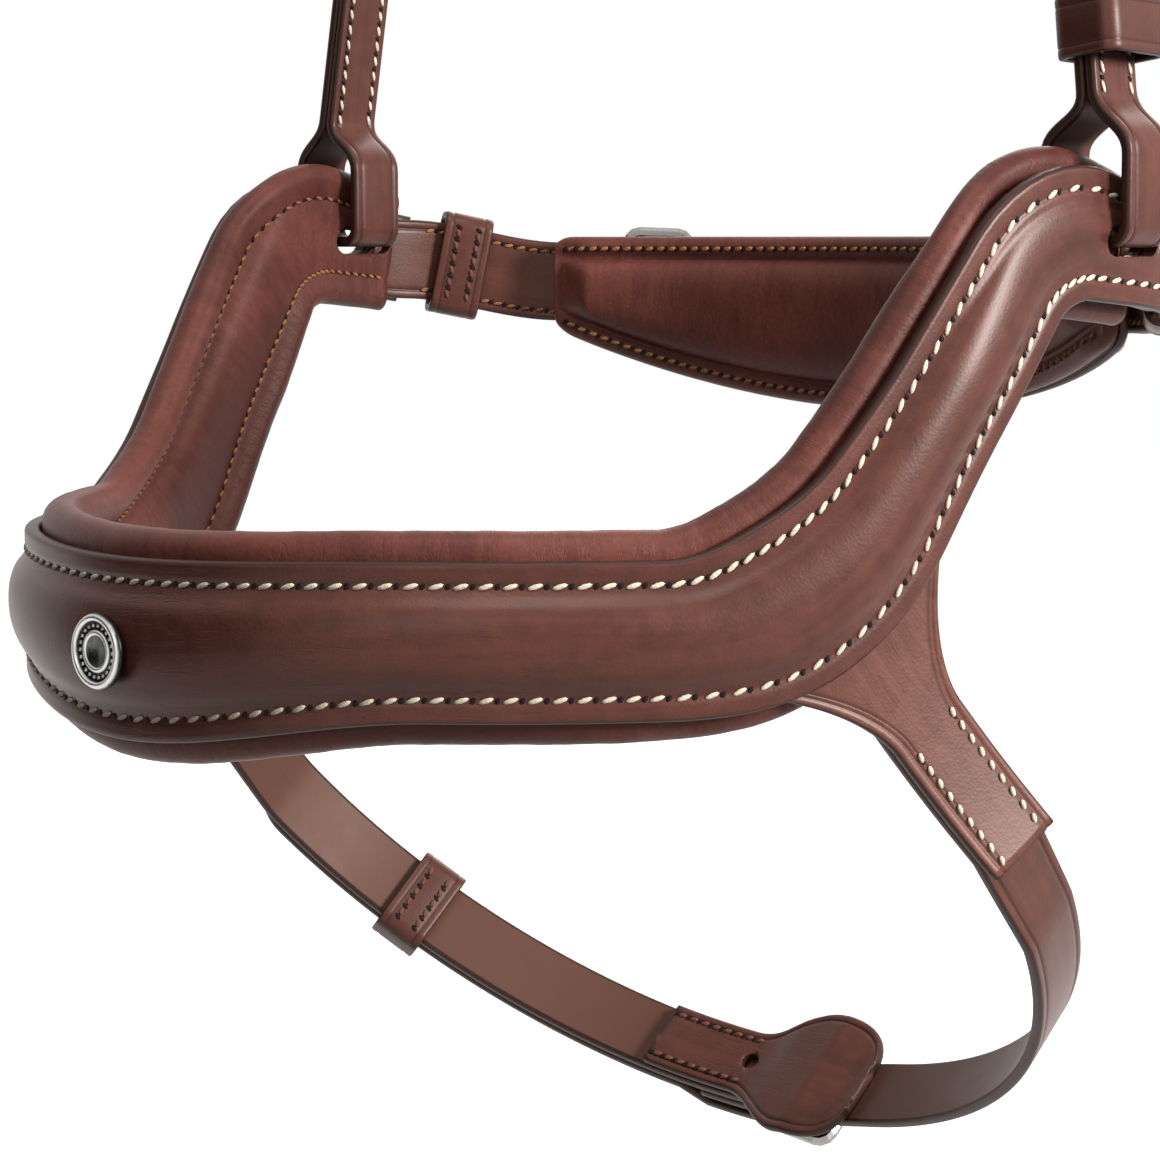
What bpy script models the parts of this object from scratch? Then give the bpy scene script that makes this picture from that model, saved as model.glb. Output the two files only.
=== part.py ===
"""Leather Y noseband with chin strap, padded jaw strap and head strap.

The horse faces -Y, its left (near) side is +X, and +Z is up. The origin is on the
underside of the head strap, where it lies on the poll. Everything is in metres.
"""

import math

import bmesh
import bpy
import numpy as np
from mathutils import Vector

mm = 0.001

# Gaps between pieces, and how far a cutter runs past what it cuts
touch_gap = 0.3 * mm
leg_gap = 0.9 * mm
inner_leg_gap = 2.3 * mm
foam_gap = 0.9 * mm
filler_gap = 0.6 * mm
keeper_gap = 1.0 * mm
overrun = 6.0 * mm
probe = 0.2 * mm

# Head section: two half ellipses, seen from above, that the noseband goes round
ring_half_width = 106.4 * mm
ring_front_reach = 144.4 * mm
ring_rear_reach = 66.1 * mm
ring_steps = 720

# Where the noseband hangs below and ahead of the poll
slot_drop = 415.0 * mm
slot_forward = 17.0 * mm

# Centre line of the band, laid out flat: distance from the nose centre and height over the slots
nose_drop = 66.7 * mm
nose_dip = 3.8 * mm
nose_dip_reach = 59.0 * mm
low_corner_run = 123.9 * mm
low_corner_radius = 49.7 * mm
peak_corner_run = 173.4 * mm
peak_corner_height = 3.6 * mm
peak_corner_radius = 20.5 * mm
tail_past_peak = 39.3 * mm
tail_run = peak_corner_run + tail_past_peak
tail_height = -3.9 * mm

# Widths of the outer leather along the band
nose_width = 32.2 * mm
side_width = 27.3 * mm
bend_width = 30.5 * mm
cheek_width = 25.2 * mm
peak_width = 24.6 * mm
tail_width = 19.5 * mm

# Outer leather and its raised middle
outer_thickness = 3.0 * mm
outer_edge_round = 0.9 * mm
crown_height = 3.2 * mm
crown_border = 6.4 * mm
peak_crown_share = 0.3
filler_end_share = 0.9

# Soft lining round its foam
lining_skin = 1.1 * mm
top_roll_radius = 4.0 * mm
top_roll_rise = 0.7 * mm
low_roll_radius = 3.8 * mm
low_roll_rise = 0.5 * mm
lining_depth = 8.7 * mm
groove_depth = 5.2 * mm
groove_inset = 4.2 * mm
hem_width = 3.4 * mm
layer_pocket = 2.7 * mm
peak_depth_share = 0.96
peak_roll_share = 0.74
foam_least = 0.8 * mm
foam_front_shares = (-0.76, -0.62, -0.44, -0.18, 0.06, 0.3, 0.5, 0.68)
foam_step_share = 0.3
lining_end_share = 0.965
top_roll_turns_deg = (0, 46, 92, 140, 195)
low_roll_turns_deg = (0, 60, 125, 190)

# Slot of the hangers
slot_run = 194.8 * mm
slot_length = 16.0 * mm
slot_height = 5.3 * mm

# Badge
badge_radius = 6.8 * mm
badge_height = 2.4 * mm
badge_rim = 1.5 * mm
badge_recess = 0.7 * mm
badge_post_radius = 1.6 * mm
badge_foot_radius = 4.0 * mm
badge_foot_height = 0.8 * mm

# Y-pieces, laid out flat on the wall of the head section
y_root_run = 133.8 * mm
y_root_drop = 63.8 * mm
y_length = 52.5 * mm
y_fall_deg = 54.1
y_leg_width = 16.0 * mm
y_web_width = 30.0 * mm
y_web_share = 0.475
y_web_power = 1.7
y_flare = 8.5 * mm
y_thickness = 2.2 * mm

# Chin strap
chin_width = 15.8 * mm
chin_thickness = 2.3 * mm
chin_spread = 0.3 * mm
chin_drop = 96.4 * mm
chin_fall_deg = 49.0
chin_root_share = 0.32
chin_bar_past_middle = 3.0 * mm
chin_tip_to_y = 20.0 * mm
chin_keeper_past_middle = 99.4 * mm

# Chin guard
guard_width = 31.0 * mm
guard_neck_width = 15.6 * mm
guard_neck_reach = 36.0 * mm
guard_blade_reach = 21.5 * mm
guard_widest_share = 0.3
guard_end_share = 0.42
guard_thickness = 2.0 * mm
guard_hole_radius = 2.0 * mm
guard_hole_back = 10.8 * mm

# Jaw strap and its pad
jaw_width = 17.8 * mm
jaw_thickness = 2.2 * mm
jaw_root_before_tail = 34.0 * mm
jaw_bar_past_tail = 51.4 * mm
jaw_tip_past_tail = 10.4 * mm
jaw_keeper_past_tail = 13.2 * mm
jaw_root_run = tail_run - jaw_root_before_tail
jaw_bar_run = tail_run + jaw_bar_past_tail
jaw_tip_run = tail_run + jaw_tip_past_tail
jaw_keeper_run = tail_run + jaw_keeper_past_tail
jaw_end_drop = 9.0 * mm
jaw_middle_drop = 12.4 * mm
pad_end_past_tail = 36.4 * mm
pad_end_run = tail_run + pad_end_past_tail
pad_top = 1.2 * mm
pad_end_height = 20.9 * mm
pad_belly = 16.3 * mm
pad_depth = 8.5 * mm
pad_border = 5.0 * mm
pad_border_depth = 5.2 * mm
pad_backing_thickness = 1.8 * mm
pad_skin = 1.2 * mm

# Head strap and near hanger
head_width = 13.0 * mm
head_thickness = 2.2 * mm
hanger_lean_deg = 7.5
leg_turn_radius = 3.2 * mm
leg_join_height = 27.0 * mm
far_lap_height = 57.0 * mm
arch_height = 335.0 * mm
arch_lift = 42.0 * mm
arch_reach = 34.0 * mm
poll_flat = 26.0 * mm
head_bar_height = 104.0 * mm
head_tip_below_bar = 65.0 * mm
hanger_end_below_bar = 42.0 * mm
head_tip_height = head_bar_height - head_tip_below_bar
hanger_end_height = head_bar_height - hanger_end_below_bar
hanger_end_gap = 1.0 * mm
fixed_keeper_below_bar = 20.0 * mm
head_fixed_keeper_height = head_bar_height - fixed_keeper_below_bar
head_keeper_below_tip = 1.0 * mm
head_keeper_height = head_tip_height - head_keeper_below_tip

# Buckles: wire frame with the heel bar at its origin, and a wire tongue
wire_radius = 1.4 * mm
frame_side_gap = 1.2 * mm
frame_length = 13.0 * mm
frame_lift = 3.4 * mm
frame_corner = 2.4 * mm
tongue_thickness = 1.8 * mm
tongue_width = 2.8 * mm
tongue_over = 1.4 * mm
tongue_wrap_deg = 250.0
fold_length = 22.0 * mm
bar_slot_width = 4.4 * mm
bar_slot_reach = 6.0 * mm

# Keepers
keeper_length = 11.0 * mm
keeper_wall = 1.7 * mm
keeper_corner = 1.6 * mm

# Punched holes of the billets
hole_radius = 1.9 * mm
hole_spacing = 22.0 * mm
used_hole_length = 7.6 * mm
spare_holes = 4

# Ends and edges of straps
edge_round = 0.5 * mm
tip_length = 9.0 * mm
tip_width_share = 0.28


def clear_scene():
    for old in list(bpy.data.objects):
        bpy.data.objects.remove(old, do_unlink=True)


def make_material(name, colour, roughness, metallic=0.0):
    material = bpy.data.materials.new(name)
    material.use_nodes = True
    shader = material.node_tree.nodes["Principled BSDF"]
    shader.inputs["Base Color"].default_value = (*colour, 1.0)
    shader.inputs["Roughness"].default_value = roughness
    shader.inputs["Metallic"].default_value = metallic
    return material


# Meshes


def add_object(name, mesh_data, material):
    mesh = bpy.data.meshes.new(name)
    mesh_data.to_mesh(mesh)
    mesh_data.free()
    mesh.shade_smooth()
    mesh.set_sharp_from_angle(angle=math.radians(35))
    mesh.materials.append(material)
    made = bpy.data.objects.new(name, mesh)
    bpy.context.scene.collection.objects.link(made)
    return made


def loft(name, rings, material, closed=False, paired=False):
    """Joins rings of points with the same count; an open row of rings gets a cap at each end.

    A paired ring runs out along one side and back along the other, so its cap is a strip.
    """
    shape = bmesh.new()
    rows = [[shape.verts.new(point) for point in ring] for ring in rings]
    pairs = list(zip(rows, rows[1:]))
    if closed:
        pairs.append((rows[-1], rows[0]))
    for first, second in pairs:
        for k in range(len(first)):
            m = (k + 1) % len(first)
            shape.faces.new((first[k], first[m], second[m], second[k]))
    if paired:
        for row in (rows[0], rows[-1]):
            for k in range(len(row) // 2 - 1):
                shape.faces.new((row[k], row[k + 1], row[-2 - k], row[-1 - k]))
    elif not closed:
        caps = [shape.faces.new(rows[0]), shape.faces.new(rows[-1])]
        bmesh.ops.triangulate(shape, faces=caps, ngon_method="EAR_CLIP")
    bmesh.ops.recalc_face_normals(shape, faces=shape.faces)
    return add_object(name, shape, material)


def cut(target, cutter):
    cutter.hide_render = True
    cutter.display_type = "WIRE"
    modifier = target.modifiers.new("cut " + cutter.name, "BOOLEAN")
    modifier.operation = "DIFFERENCE"
    modifier.object = cutter


def stadium(length, height, steps=5):
    """Outline of a slot with round ends, as (along, up) points."""
    radius = height / 2
    reach = length / 2 - radius
    points = []
    for side in (1, -1):
        for k in range(steps + 1):
            angle = math.pi * (k / steps - 0.5)
            points.append((side * (reach + radius * math.cos(angle)), side * radius * math.sin(angle)))
    return points


def prism(name, outline, base, along, up, through, depth, material):
    """A cutter: the outline, drawn along two directions at base, pushed both ways along a third."""
    rings = []
    for side in (-1, 1):
        rings.append([base + along * a + up * b + through * (side * depth) for a, b in outline])
    return loft(name, rings, material)


# Smooth steps and flat paths


def ease(share):
    share = min(max(share, 0.0), 1.0)
    return share * share * (3 - 2 * share)


def blend_table(position, places, values):
    """Value at a position, eased between neighbouring places."""
    if position <= places[0]:
        return values[0]
    for low, high, first, second in zip(places, places[1:], values, values[1:]):
        if position <= high:
            return first + (second - first) * ease((position - low) / (high - low))
    return values[-1]


def arc(centre, radius, start_deg, end_deg, steps):
    points = []
    for k in range(steps + 1):
        angle = math.radians(start_deg + (end_deg - start_deg) * k / steps)
        points.append((centre[0] + radius * math.cos(angle), centre[1] + radius * math.sin(angle)))
    return points


def curve_points(start, start_pull, end_pull, end, steps):
    """Points of a cubic curve from start to end; the pulls are its inner control points."""
    points = []
    for k in range(steps + 1):
        t = k / steps
        a, b, c, d = (1 - t) ** 3, 3 * t * (1 - t) ** 2, 3 * t * t * (1 - t), t**3
        points.append(tuple(a * p + b * q + c * r + d * s for p, q, r, s in zip(start, start_pull, end_pull, end)))
    return points


# The wall of the head section


def ring_table():
    angles = np.linspace(0, math.pi, ring_steps + 1)
    reach = np.where(np.cos(angles) > 0, ring_front_reach, ring_rear_reach)
    x = ring_half_width * np.sin(angles)
    y = -np.cos(angles) * reach
    run = np.concatenate([[0], np.cumsum(np.hypot(np.diff(x), np.diff(y)))])
    return run, x, y


ring_run, ring_x, ring_y = ring_table()
ring_half = float(ring_run[-1])
slot_behind_centre = float(np.interp(slot_run, ring_run, ring_y))
ring_centre_y = -slot_forward - slot_behind_centre


def ring_point(run, height, out):
    """Point of the wall at a distance from the nose centre (near side positive), a height and an offset."""
    side = 1 if run >= 0 else -1
    run = abs(run)
    if run > ring_half:
        side, run = -side, 2 * ring_half - run
    x = float(np.interp(run, ring_run, ring_x))
    y = float(np.interp(run, ring_run, ring_y))
    reach = ring_front_reach if y < 0 else ring_rear_reach
    normal = Vector((x / ring_half_width**2, y / reach**2, 0)).normalized()
    place = Vector((x, y, 0)) + normal * out
    return Vector((side * place.x, place.y + ring_centre_y, height - slot_drop))


slot_wall_x = ring_point(slot_run, 0, 0).x
slot_y = ring_point(slot_run, 0, 0).y


# The band, laid out flat


def rounded_corner(before, corner, after, radius, steps):
    """Points of the arc that rounds a corner, and how far it starts before it."""
    first = Vector(corner) - Vector(before)
    second = Vector(after) - Vector(corner)
    turn = first.angle(second)
    reach = radius * math.tan(turn / 2)
    start = Vector(corner) - first.normalized() * reach
    side = Vector((-first.y, first.x)).normalized()
    if side.dot(second) < 0:
        side = -side
    centre = start + side * radius
    points = []
    for k in range(steps + 1):
        angle = turn * k / steps
        points.append(tuple(centre - side * (radius * math.cos(angle)) + first.normalized() * (radius * math.sin(angle))))
    return points


def band_line():
    nose = (0.0, -nose_drop)
    low = (low_corner_run, -nose_drop)
    peak = (peak_corner_run, peak_corner_height)
    tail = (tail_run, tail_height)
    low_arc = rounded_corner(nose, low, peak, low_corner_radius, 40)
    peak_arc = rounded_corner(low, peak, tail, peak_corner_radius, 40)
    line = [nose]
    for k in range(1, 60):
        share = k / 60
        line.append((low_arc[0][0] * share, -nose_drop))
    line += low_arc + peak_arc + [tail]
    marks = (low_arc[0], low_arc[-1], peak_arc[0], peak_arc[-1], tail)
    dipped = []
    for run, height in line:
        fade = 1 - ease(run / nose_dip_reach)
        dipped.append((run, height - nose_dip * fade))
    return np.array(dipped), marks


band_points, band_marks = band_line()
band_length = np.concatenate([[0], np.cumsum(np.linalg.norm(np.diff(band_points, axis=0), axis=1))])


def along_band(mark):
    """Distance along the band's centre line to the place of a mark."""
    nearest = np.argmin(np.linalg.norm(band_points - np.array(mark), axis=1))
    return float(band_length[nearest])


bend_start, bend_end, peak_start, peak_end, band_end = [along_band(mark) for mark in band_marks]
band_places = (0, nose_dip_reach, bend_start, (bend_start + bend_end) / 2, (bend_end + peak_start) / 2)
band_places += ((peak_start + peak_end) / 2, band_end)
band_widths = (nose_width, side_width, side_width, bend_width, cheek_width, peak_width, tail_width)


def band_half(run):
    return blend_table(abs(run), band_places, band_widths) / 2


def band_flat(run, across):
    """Flat place of a point of the band: distance from the nose centre and height."""
    distance = abs(run)
    u = float(np.interp(distance, band_length, band_points[:, 0]))
    h = float(np.interp(distance, band_length, band_points[:, 1]))
    ahead = min(distance + probe, band_end)
    behind = max(distance - probe, 0.0)
    du = float(np.interp(ahead, band_length, band_points[:, 0]) - np.interp(behind, band_length, band_points[:, 0]))
    dh = float(np.interp(ahead, band_length, band_points[:, 1]) - np.interp(behind, band_length, band_points[:, 1]))
    size = math.hypot(du, dh)
    u -= across * dh / size
    h += across * du / size
    return u, h


def band_point(run, across, out):
    u, h = band_flat(run, across)
    if run < 0:
        u = -u
    return ring_point(u, h, out)


def band_stations(end, counts):
    """Runs from one end of the band to the other, closer together in its bends."""
    stops = [0, bend_start, bend_end, peak_start, peak_end, band_end]
    runs = [0.0]
    for low, high, count in zip(stops, stops[1:], counts):
        high = min(high, end)
        runs += [low + (high - low) * (k + 1) / count for k in range(count)]
    return [-run for run in reversed(runs[1:])] + runs


def band_loft(name, section, runs, material, paired=False):
    rings = [[band_point(run, across, out) for across, out in section(run)] for run in runs]
    return loft(name, rings, material, paired=paired)


def crown_at(run):
    places = (0, (bend_end + peak_start) / 2, (peak_start + peak_end) / 2, band_end)
    values = (crown_height, crown_height, crown_height * peak_crown_share, 0.0)
    return blend_table(abs(run), places, values)


def outer_section(run):
    half = band_half(run)
    crown = crown_at(run)
    inner = half - crown_border
    bevel = outer_edge_round
    top = outer_thickness
    shoulder = inner + crown / 2
    back = [(-half + bevel, 0), (-inner, 0), (-inner * 0.6, crown * 0.85), (0, crown)]
    back += [(inner * 0.6, crown * 0.85), (inner, 0), (half - bevel, 0)]
    front = [(half, bevel), (half, top - bevel), (half - bevel, top), (shoulder, top)]
    front += [(inner * 0.65, top + crown * 0.85), (0, top + crown), (-inner * 0.65, top + crown * 0.85)]
    front += [(-shoulder, top), (-half + bevel, top), (-half, top - bevel), (-half, bevel)]
    return back + front


def filler_section(run):
    inner = band_half(run) - crown_border - filler_gap * 1.5
    top = crown_at(run) - filler_gap
    low = touch_gap
    return [(-inner, low), (inner, low), (inner * 0.58, top * 0.82), (0, top), (-inner * 0.58, top * 0.82)]


def peak_share(run, at_peak):
    """A share that is 1 along the nose and cheek and smaller from the peak on."""
    places = (0, (bend_end + peak_start) / 2, (peak_start + peak_end) / 2)
    return blend_table(abs(run), places, (1.0, 1.0, at_peak))


def lining_back(run):
    return lining_depth * peak_share(run, peak_depth_share)


def pockets(run):
    """How far the lining stands back for the layers sewn in: at its top, middle and bottom."""
    distance = abs(run)
    low = layer_pocket * ease((distance - bend_start + overrun) / (2 * overrun))
    top = layer_pocket * ease((distance - peak_start) / (peak_end - peak_start) * 2)
    return top, low


def lining_outline(run):
    """Outside of the padding, from the hem at the top, over the back, to the hem at the bottom."""
    half = band_half(run)
    share = peak_share(run, peak_roll_share)
    top_pocket, low_pocket = pockets(run)
    top_radius = top_roll_radius * share
    low_radius = low_roll_radius * share
    top_centre = (half + top_roll_rise * share, -touch_gap - top_pocket - top_radius)
    low_centre = (-half - low_roll_rise * share, -touch_gap - low_pocket - low_radius)
    points = [(half - hem_width, -touch_gap - top_pocket)]
    for turn in top_roll_turns_deg:
        angle = math.radians(turn)
        points.append((top_centre[0] + top_radius * math.sin(angle), top_centre[1] + top_radius * math.cos(angle)))
    groove = half - groove_inset
    deep = lining_back(run)
    sewn = touch_gap + foam_gap * 2 + lining_skin * 2 + foam_least
    top_dip = max(groove_depth, top_pocket + sewn)
    low_dip = max(groove_depth, low_pocket + sewn)
    points += [(groove, -top_dip), (groove * 0.45, -deep * 0.97), (0, -deep), (-groove * 0.45, -deep * 0.97)]
    points.append((-groove, -low_dip))
    for turn in reversed(low_roll_turns_deg):
        angle = math.radians(turn)
        points.append((low_centre[0] - low_radius * math.sin(angle), low_centre[1] + low_radius * math.cos(angle)))
    points.append((-half + hem_width, -touch_gap - low_pocket))
    return points


def inset_line(points, distance):
    """The line moved to its left by a distance, with its corners mitred."""
    line = np.array(points)
    steps = np.diff(line, axis=0)
    normals = np.stack([-steps[:, 1], steps[:, 0]], axis=1)
    normals /= np.linalg.norm(normals, axis=1)[:, None]
    first = np.vstack([normals[:1], normals])
    second = np.vstack([normals, normals[-1:]])
    mitre = first + second
    size = np.linalg.norm(mitre, axis=1)[:, None]
    mitre /= size
    stretch = np.clip(1 / np.sum(mitre * first, axis=1), 1.0, 1.4)[:, None]
    return [tuple(point) for point in line + mitre * stretch * distance]


def lining_section(run):
    outside = lining_outline(run)
    inside = inset_line(outside, -lining_skin)
    return outside + inside[::-1]


def foam_section(run):
    inside = inset_line(lining_outline(run), -lining_skin - foam_gap)[1:-1]
    half = band_half(run)
    top_pocket, low_pocket = pockets(run)
    lanes = []
    for share in foam_front_shares:
        pocket = low_pocket + (top_pocket - low_pocket) * ease((share - foam_step_share) / foam_step_share)
        lanes.append((half * share, -touch_gap - foam_gap - pocket - lining_skin))
    return inside[2:] + lanes + inside[:2]


def slot_cutter(side, material):
    base = Vector((side * slot_wall_x, slot_y, -slot_drop))
    outline = stadium(slot_length, slot_height)
    depth = lining_depth + outer_thickness + crown_height + overrun
    name = "slot_cutter_near" if side > 0 else "slot_cutter_far"
    return prism(name, outline, base, Vector((0, 1, 0)), Vector((0, 0, 1)), Vector((1, 0, 0)), depth, material)


# Straps: a centre line in a plane or on a wall, with a leather section across it


def leather_section(half_width, half_thickness):
    a, b, bevel = half_width, half_thickness, edge_round
    points = [(-a + bevel, -b), (a - bevel, -b), (a, -b + bevel), (a, b - bevel)]
    points += [(a - bevel, b), (-a + bevel, b), (-a, b - bevel), (-a, -b + bevel)]
    return points


def line_normals(line):
    line = np.array(line)
    steps = np.diff(line, axis=0)
    normals = np.stack([-steps[:, 1], steps[:, 0]], axis=1)
    normals /= np.linalg.norm(normals, axis=1)[:, None]
    both = np.vstack([normals[:1], normals]) + np.vstack([normals, normals[-1:]])
    return both / np.linalg.norm(both, axis=1)[:, None]


def tip_share(left):
    """Width of a pointed strap end, as a share, at a distance from its tip."""
    if left >= tip_length:
        return 1.0
    swell = math.sqrt(1 - (1 - left / tip_length) ** 2)
    return tip_width_share + (1 - tip_width_share) * swell


def strap(name, place, line, width, thickness, material, pointed=False, widths=None):
    """place(along, across, out) maps the strap's own coordinates to space."""
    line = [tuple(point) for point in line]
    if pointed:
        line = with_tip(line)
    run = np.concatenate([[0], np.cumsum(np.linalg.norm(np.diff(np.array(line), axis=0), axis=1))])
    rings = []
    for k, (point, normal) in enumerate(zip(line, line_normals(line))):
        half = width / 2 if widths is None else widths(point[0]) / 2
        if pointed:
            half *= tip_share(run[-1] - run[k])
        ring = []
        for across, off in leather_section(half, thickness / 2):
            ring.append(place(point[0] + normal[0] * off, across, point[1] + normal[1] * off))
        rings.append(ring)
    return loft(name, rings, material)


def with_tip(line):
    """Adds points close to the last one, where the strap is cut to a point."""
    last, before = np.array(line[-1]), np.array(line[-2])
    direction = (last - before) / np.linalg.norm(last - before)
    kept = line[:-1]
    while np.linalg.norm(np.array(kept[-1]) - last) < tip_length:
        kept = kept[:-1]
    for share in (1.0, 0.6, 0.3, 0.1, 0.0):
        kept.append(tuple(last - direction * tip_length * share))
    return kept


def smooth_line(places, step):
    """Points through (along, out) places, eased from each to the next."""
    points = []
    for (a0, b0), (a1, b1) in zip(places, places[1:]):
        level = abs(b1 - b0) < touch_gap / 10
        count = max(1, round(abs(a1 - a0) / step)) if level else max(4, round(abs(a1 - a0) / step))
        for k in range(count):
            share = k / count
            points.append((a0 + (a1 - a0) * share, b0 + (b1 - b0) * ease(share)))
    points.append(places[-1])
    return points


class Route:
    """A line in space with a width direction, read by the distance along it."""

    def __init__(self, points, widths):
        self.points = np.array([tuple(point) for point in points])
        self.widths = np.array([tuple(width) for width in widths])
        steps = np.linalg.norm(np.diff(self.points, axis=0), axis=1)
        self.run = np.concatenate([[0], np.cumsum(steps)])
        self.length = float(self.run[-1])

    def read(self, table, run):
        return Vector([float(np.interp(run, self.run, table[:, axis])) for axis in range(3)])

    def frame(self, run):
        run = min(max(run, 0.0), self.length)
        ahead = min(run + probe * 5, self.length)
        behind = max(run - probe * 5, 0.0)
        along = (self.read(self.points, ahead) - self.read(self.points, behind)).normalized()
        width = self.read(self.widths, run)
        width = (width - along * width.dot(along)).normalized()
        return self.read(self.points, run), along, width, along.cross(width)

    def place(self, run, across, out):
        base, along, width, outward = self.frame(run)
        spare = run - min(max(run, 0.0), self.length)
        return base + along * spare + width * across + outward * out

    def nearest(self, point):
        gaps = np.linalg.norm(self.points - np.array(tuple(point)), axis=1)
        return float(self.run[int(np.argmin(gaps))])


class Bench:
    """A flat frame at one place of a strap: along it, across it and out of it."""

    def __init__(self, place, point, along):
        self.base = place(point[0], 0, point[1])
        ahead = place(point[0] + along[0] * probe, 0, point[1] + along[1] * probe)
        outer = place(point[0] - along[1] * probe, 0, point[1] + along[0] * probe)
        self.along = (ahead - self.base).normalized()
        self.out = (outer - self.base).normalized()
        self.across = (place(point[0], probe, point[1]) - self.base).normalized()
        self.out = (self.out - self.along * self.out.dot(self.along)).normalized()
        self.across = self.along.cross(self.out)

    def flipped(self):
        """The same frame, facing back along the strap, with the same outer side."""
        self.along = -self.along
        self.across = -self.across
        return self

    def place(self, along, across, out):
        return self.base + self.along * along + self.across * across + self.out * out


# Hardware


def buckle_frame(name, bench, strap_width, material):
    """Wire frame: heel bar at the bench's origin, front bar ahead of it and lifted."""
    half = strap_width / 2 + frame_side_gap + wire_radius
    length = math.hypot(frame_length, frame_lift)
    slope = (frame_length / length, frame_lift / length)
    corners = ((0, -half), (length, -half), (length, half), (0, half))
    path = []
    for k, corner in enumerate(corners):
        before, after = corners[k - 1], corners[(k + 1) % 4]
        path += rounded_corner(before, corner, after, frame_corner, 3)
    rings = []
    for k, (t, w) in enumerate(path):
        t0, w0 = path[k - 1]
        t1, w1 = path[(k + 1) % len(path)]
        size = math.hypot(t1 - t0, w1 - w0)
        side = ((w1 - w0) / size, -(t1 - t0) / size)
        ring = []
        for turn in range(8):
            angle = math.pi * (2 * turn + 1) / 8
            flat = wire_radius * math.cos(angle)
            lift = wire_radius * math.sin(angle)
            along = t + side[0] * flat
            across = w + side[1] * flat
            ring.append(bench.place(along * slope[0] - lift * slope[1], across, along * slope[1] + lift * slope[0]))
        rings.append(ring)
    return loft(name, rings, material, closed=True)


def tongue_line():
    """Side view of a tongue: hooked round the heel bar, then straight to the front bar."""
    radius = wire_radius + touch_gap + tongue_thickness / 2
    reach = frame_length
    rise = frame_lift + wire_radius + touch_gap + tongue_thickness / 2
    slope = math.atan2(rise, reach) - math.asin(radius / math.hypot(reach, rise))
    top_deg = math.degrees(math.pi / 2 + slope)
    points = arc((0, 0), radius, top_deg + tongue_wrap_deg, top_deg, 12)
    start = points[-1]
    for share in (0.35, 0.7, 1.0):
        length = (reach + tongue_over) * share
        points.append((start[0] + length * math.cos(slope), start[1] + length * math.sin(slope)))
    return points


def buckle_tongue(name, bench, material):
    line = tongue_line()
    return strap(name, bench.place, line, tongue_width, tongue_thickness, material)


def rounded_loop(half_width, half_height, radius, steps=3):
    points = []
    for side_a, side_b, start in ((1, 1, 0), (-1, 1, 90), (-1, -1, 180), (1, -1, 270)):
        centre = (side_a * (half_width - radius), side_b * (half_height - radius))
        points += arc(centre, radius, start, start + 90, steps)
    return points


def keeper(name, bench, strap_width, low, high, material):
    """Leather loop round a stack of straps that reaches from low to high out of the bench."""
    half_width = strap_width / 2 + keeper_gap
    half_height = (high - low) / 2 + keeper_gap
    middle = (high + low) / 2
    inner = rounded_loop(half_width, half_height, keeper_corner)
    outer = rounded_loop(half_width + keeper_wall, half_height + keeper_wall, keeper_corner + keeper_wall)
    rings = []
    for outline, side in ((inner, -1), (outer, -1), (outer, 1), (inner, 1)):
        rings.append([bench.place(side * keeper_length / 2, w, n + middle) for w, n in outline])
    return loft(name, rings, material, closed=True)


def punch(target, name, place, point, along, length, material):
    """Cuts one oval hole through a strap at a place of its centre line."""
    bench = Bench(place, point, along)
    outline = stadium(length, hole_radius * 2)
    cutter = prism(name, outline, bench.base, bench.along, bench.across, bench.out, overrun, material)
    cut(target, cutter)


def cut_bar_slot(target, name, bench, material):
    """Opens the fold of a buckle strap round the heel bar, where the tongue turns."""
    reach = wire_radius + touch_gap + overrun
    outline = ((-bar_slot_reach, -bar_slot_width / 2), (reach, -bar_slot_width / 2))
    outline += ((reach, bar_slot_width / 2), (-bar_slot_reach, bar_slot_width / 2))
    cutter = prism(name, outline, bench.base, bench.along, bench.across, bench.out, overrun * 1.5, material)
    cut(target, cutter)


def bar_bulge(thickness):
    """Distance from the heel bar's axis to the middle of the leather folded round it."""
    return wire_radius + touch_gap + thickness / 2


def fold_line(bar, direction, centre_out, thickness, main_end, lap):
    """Strap folded round a heel bar: sewn-back leaf outside, main leaf inside, then on to main_end places.

    direction is +1 when the strap goes away from the bar towards larger along values.
    """
    leaf = thickness / 2 + touch_gap / 2
    bulge = bar_bulge(thickness)
    ramp = bulge * 2.2
    lapped = [(bar + direction * lap, centre_out + leaf), (bar + direction * ramp, centre_out + leaf), (bar, centre_out + bulge)]
    points = smooth_line(lapped, lap / 3)[:-1]
    for k in range(7):
        angle = math.pi * (0.5 + k / 6)
        points.append((bar + direction * bulge * math.cos(angle), centre_out + bulge * math.sin(angle)))
    back = [(bar, centre_out - bulge), (bar + direction * ramp, centre_out - leaf)]
    points += smooth_line(back, ramp)[1:]
    return points + main_end


def billet_outs(centre_out, thickness):
    """Offsets of a billet that lies over a fold: inside the front bar, over the bar, over the lap, past it."""
    under = centre_out + frame_lift - wire_radius - touch_gap - thickness / 2
    over_bar = centre_out + bar_bulge(thickness) + thickness + touch_gap
    over_lap = centre_out + thickness * 2 + touch_gap * 1.5
    past_lap = centre_out + thickness / 2 + touch_gap / 2
    return under, over_bar, over_lap, past_lap


# Noseband


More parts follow.
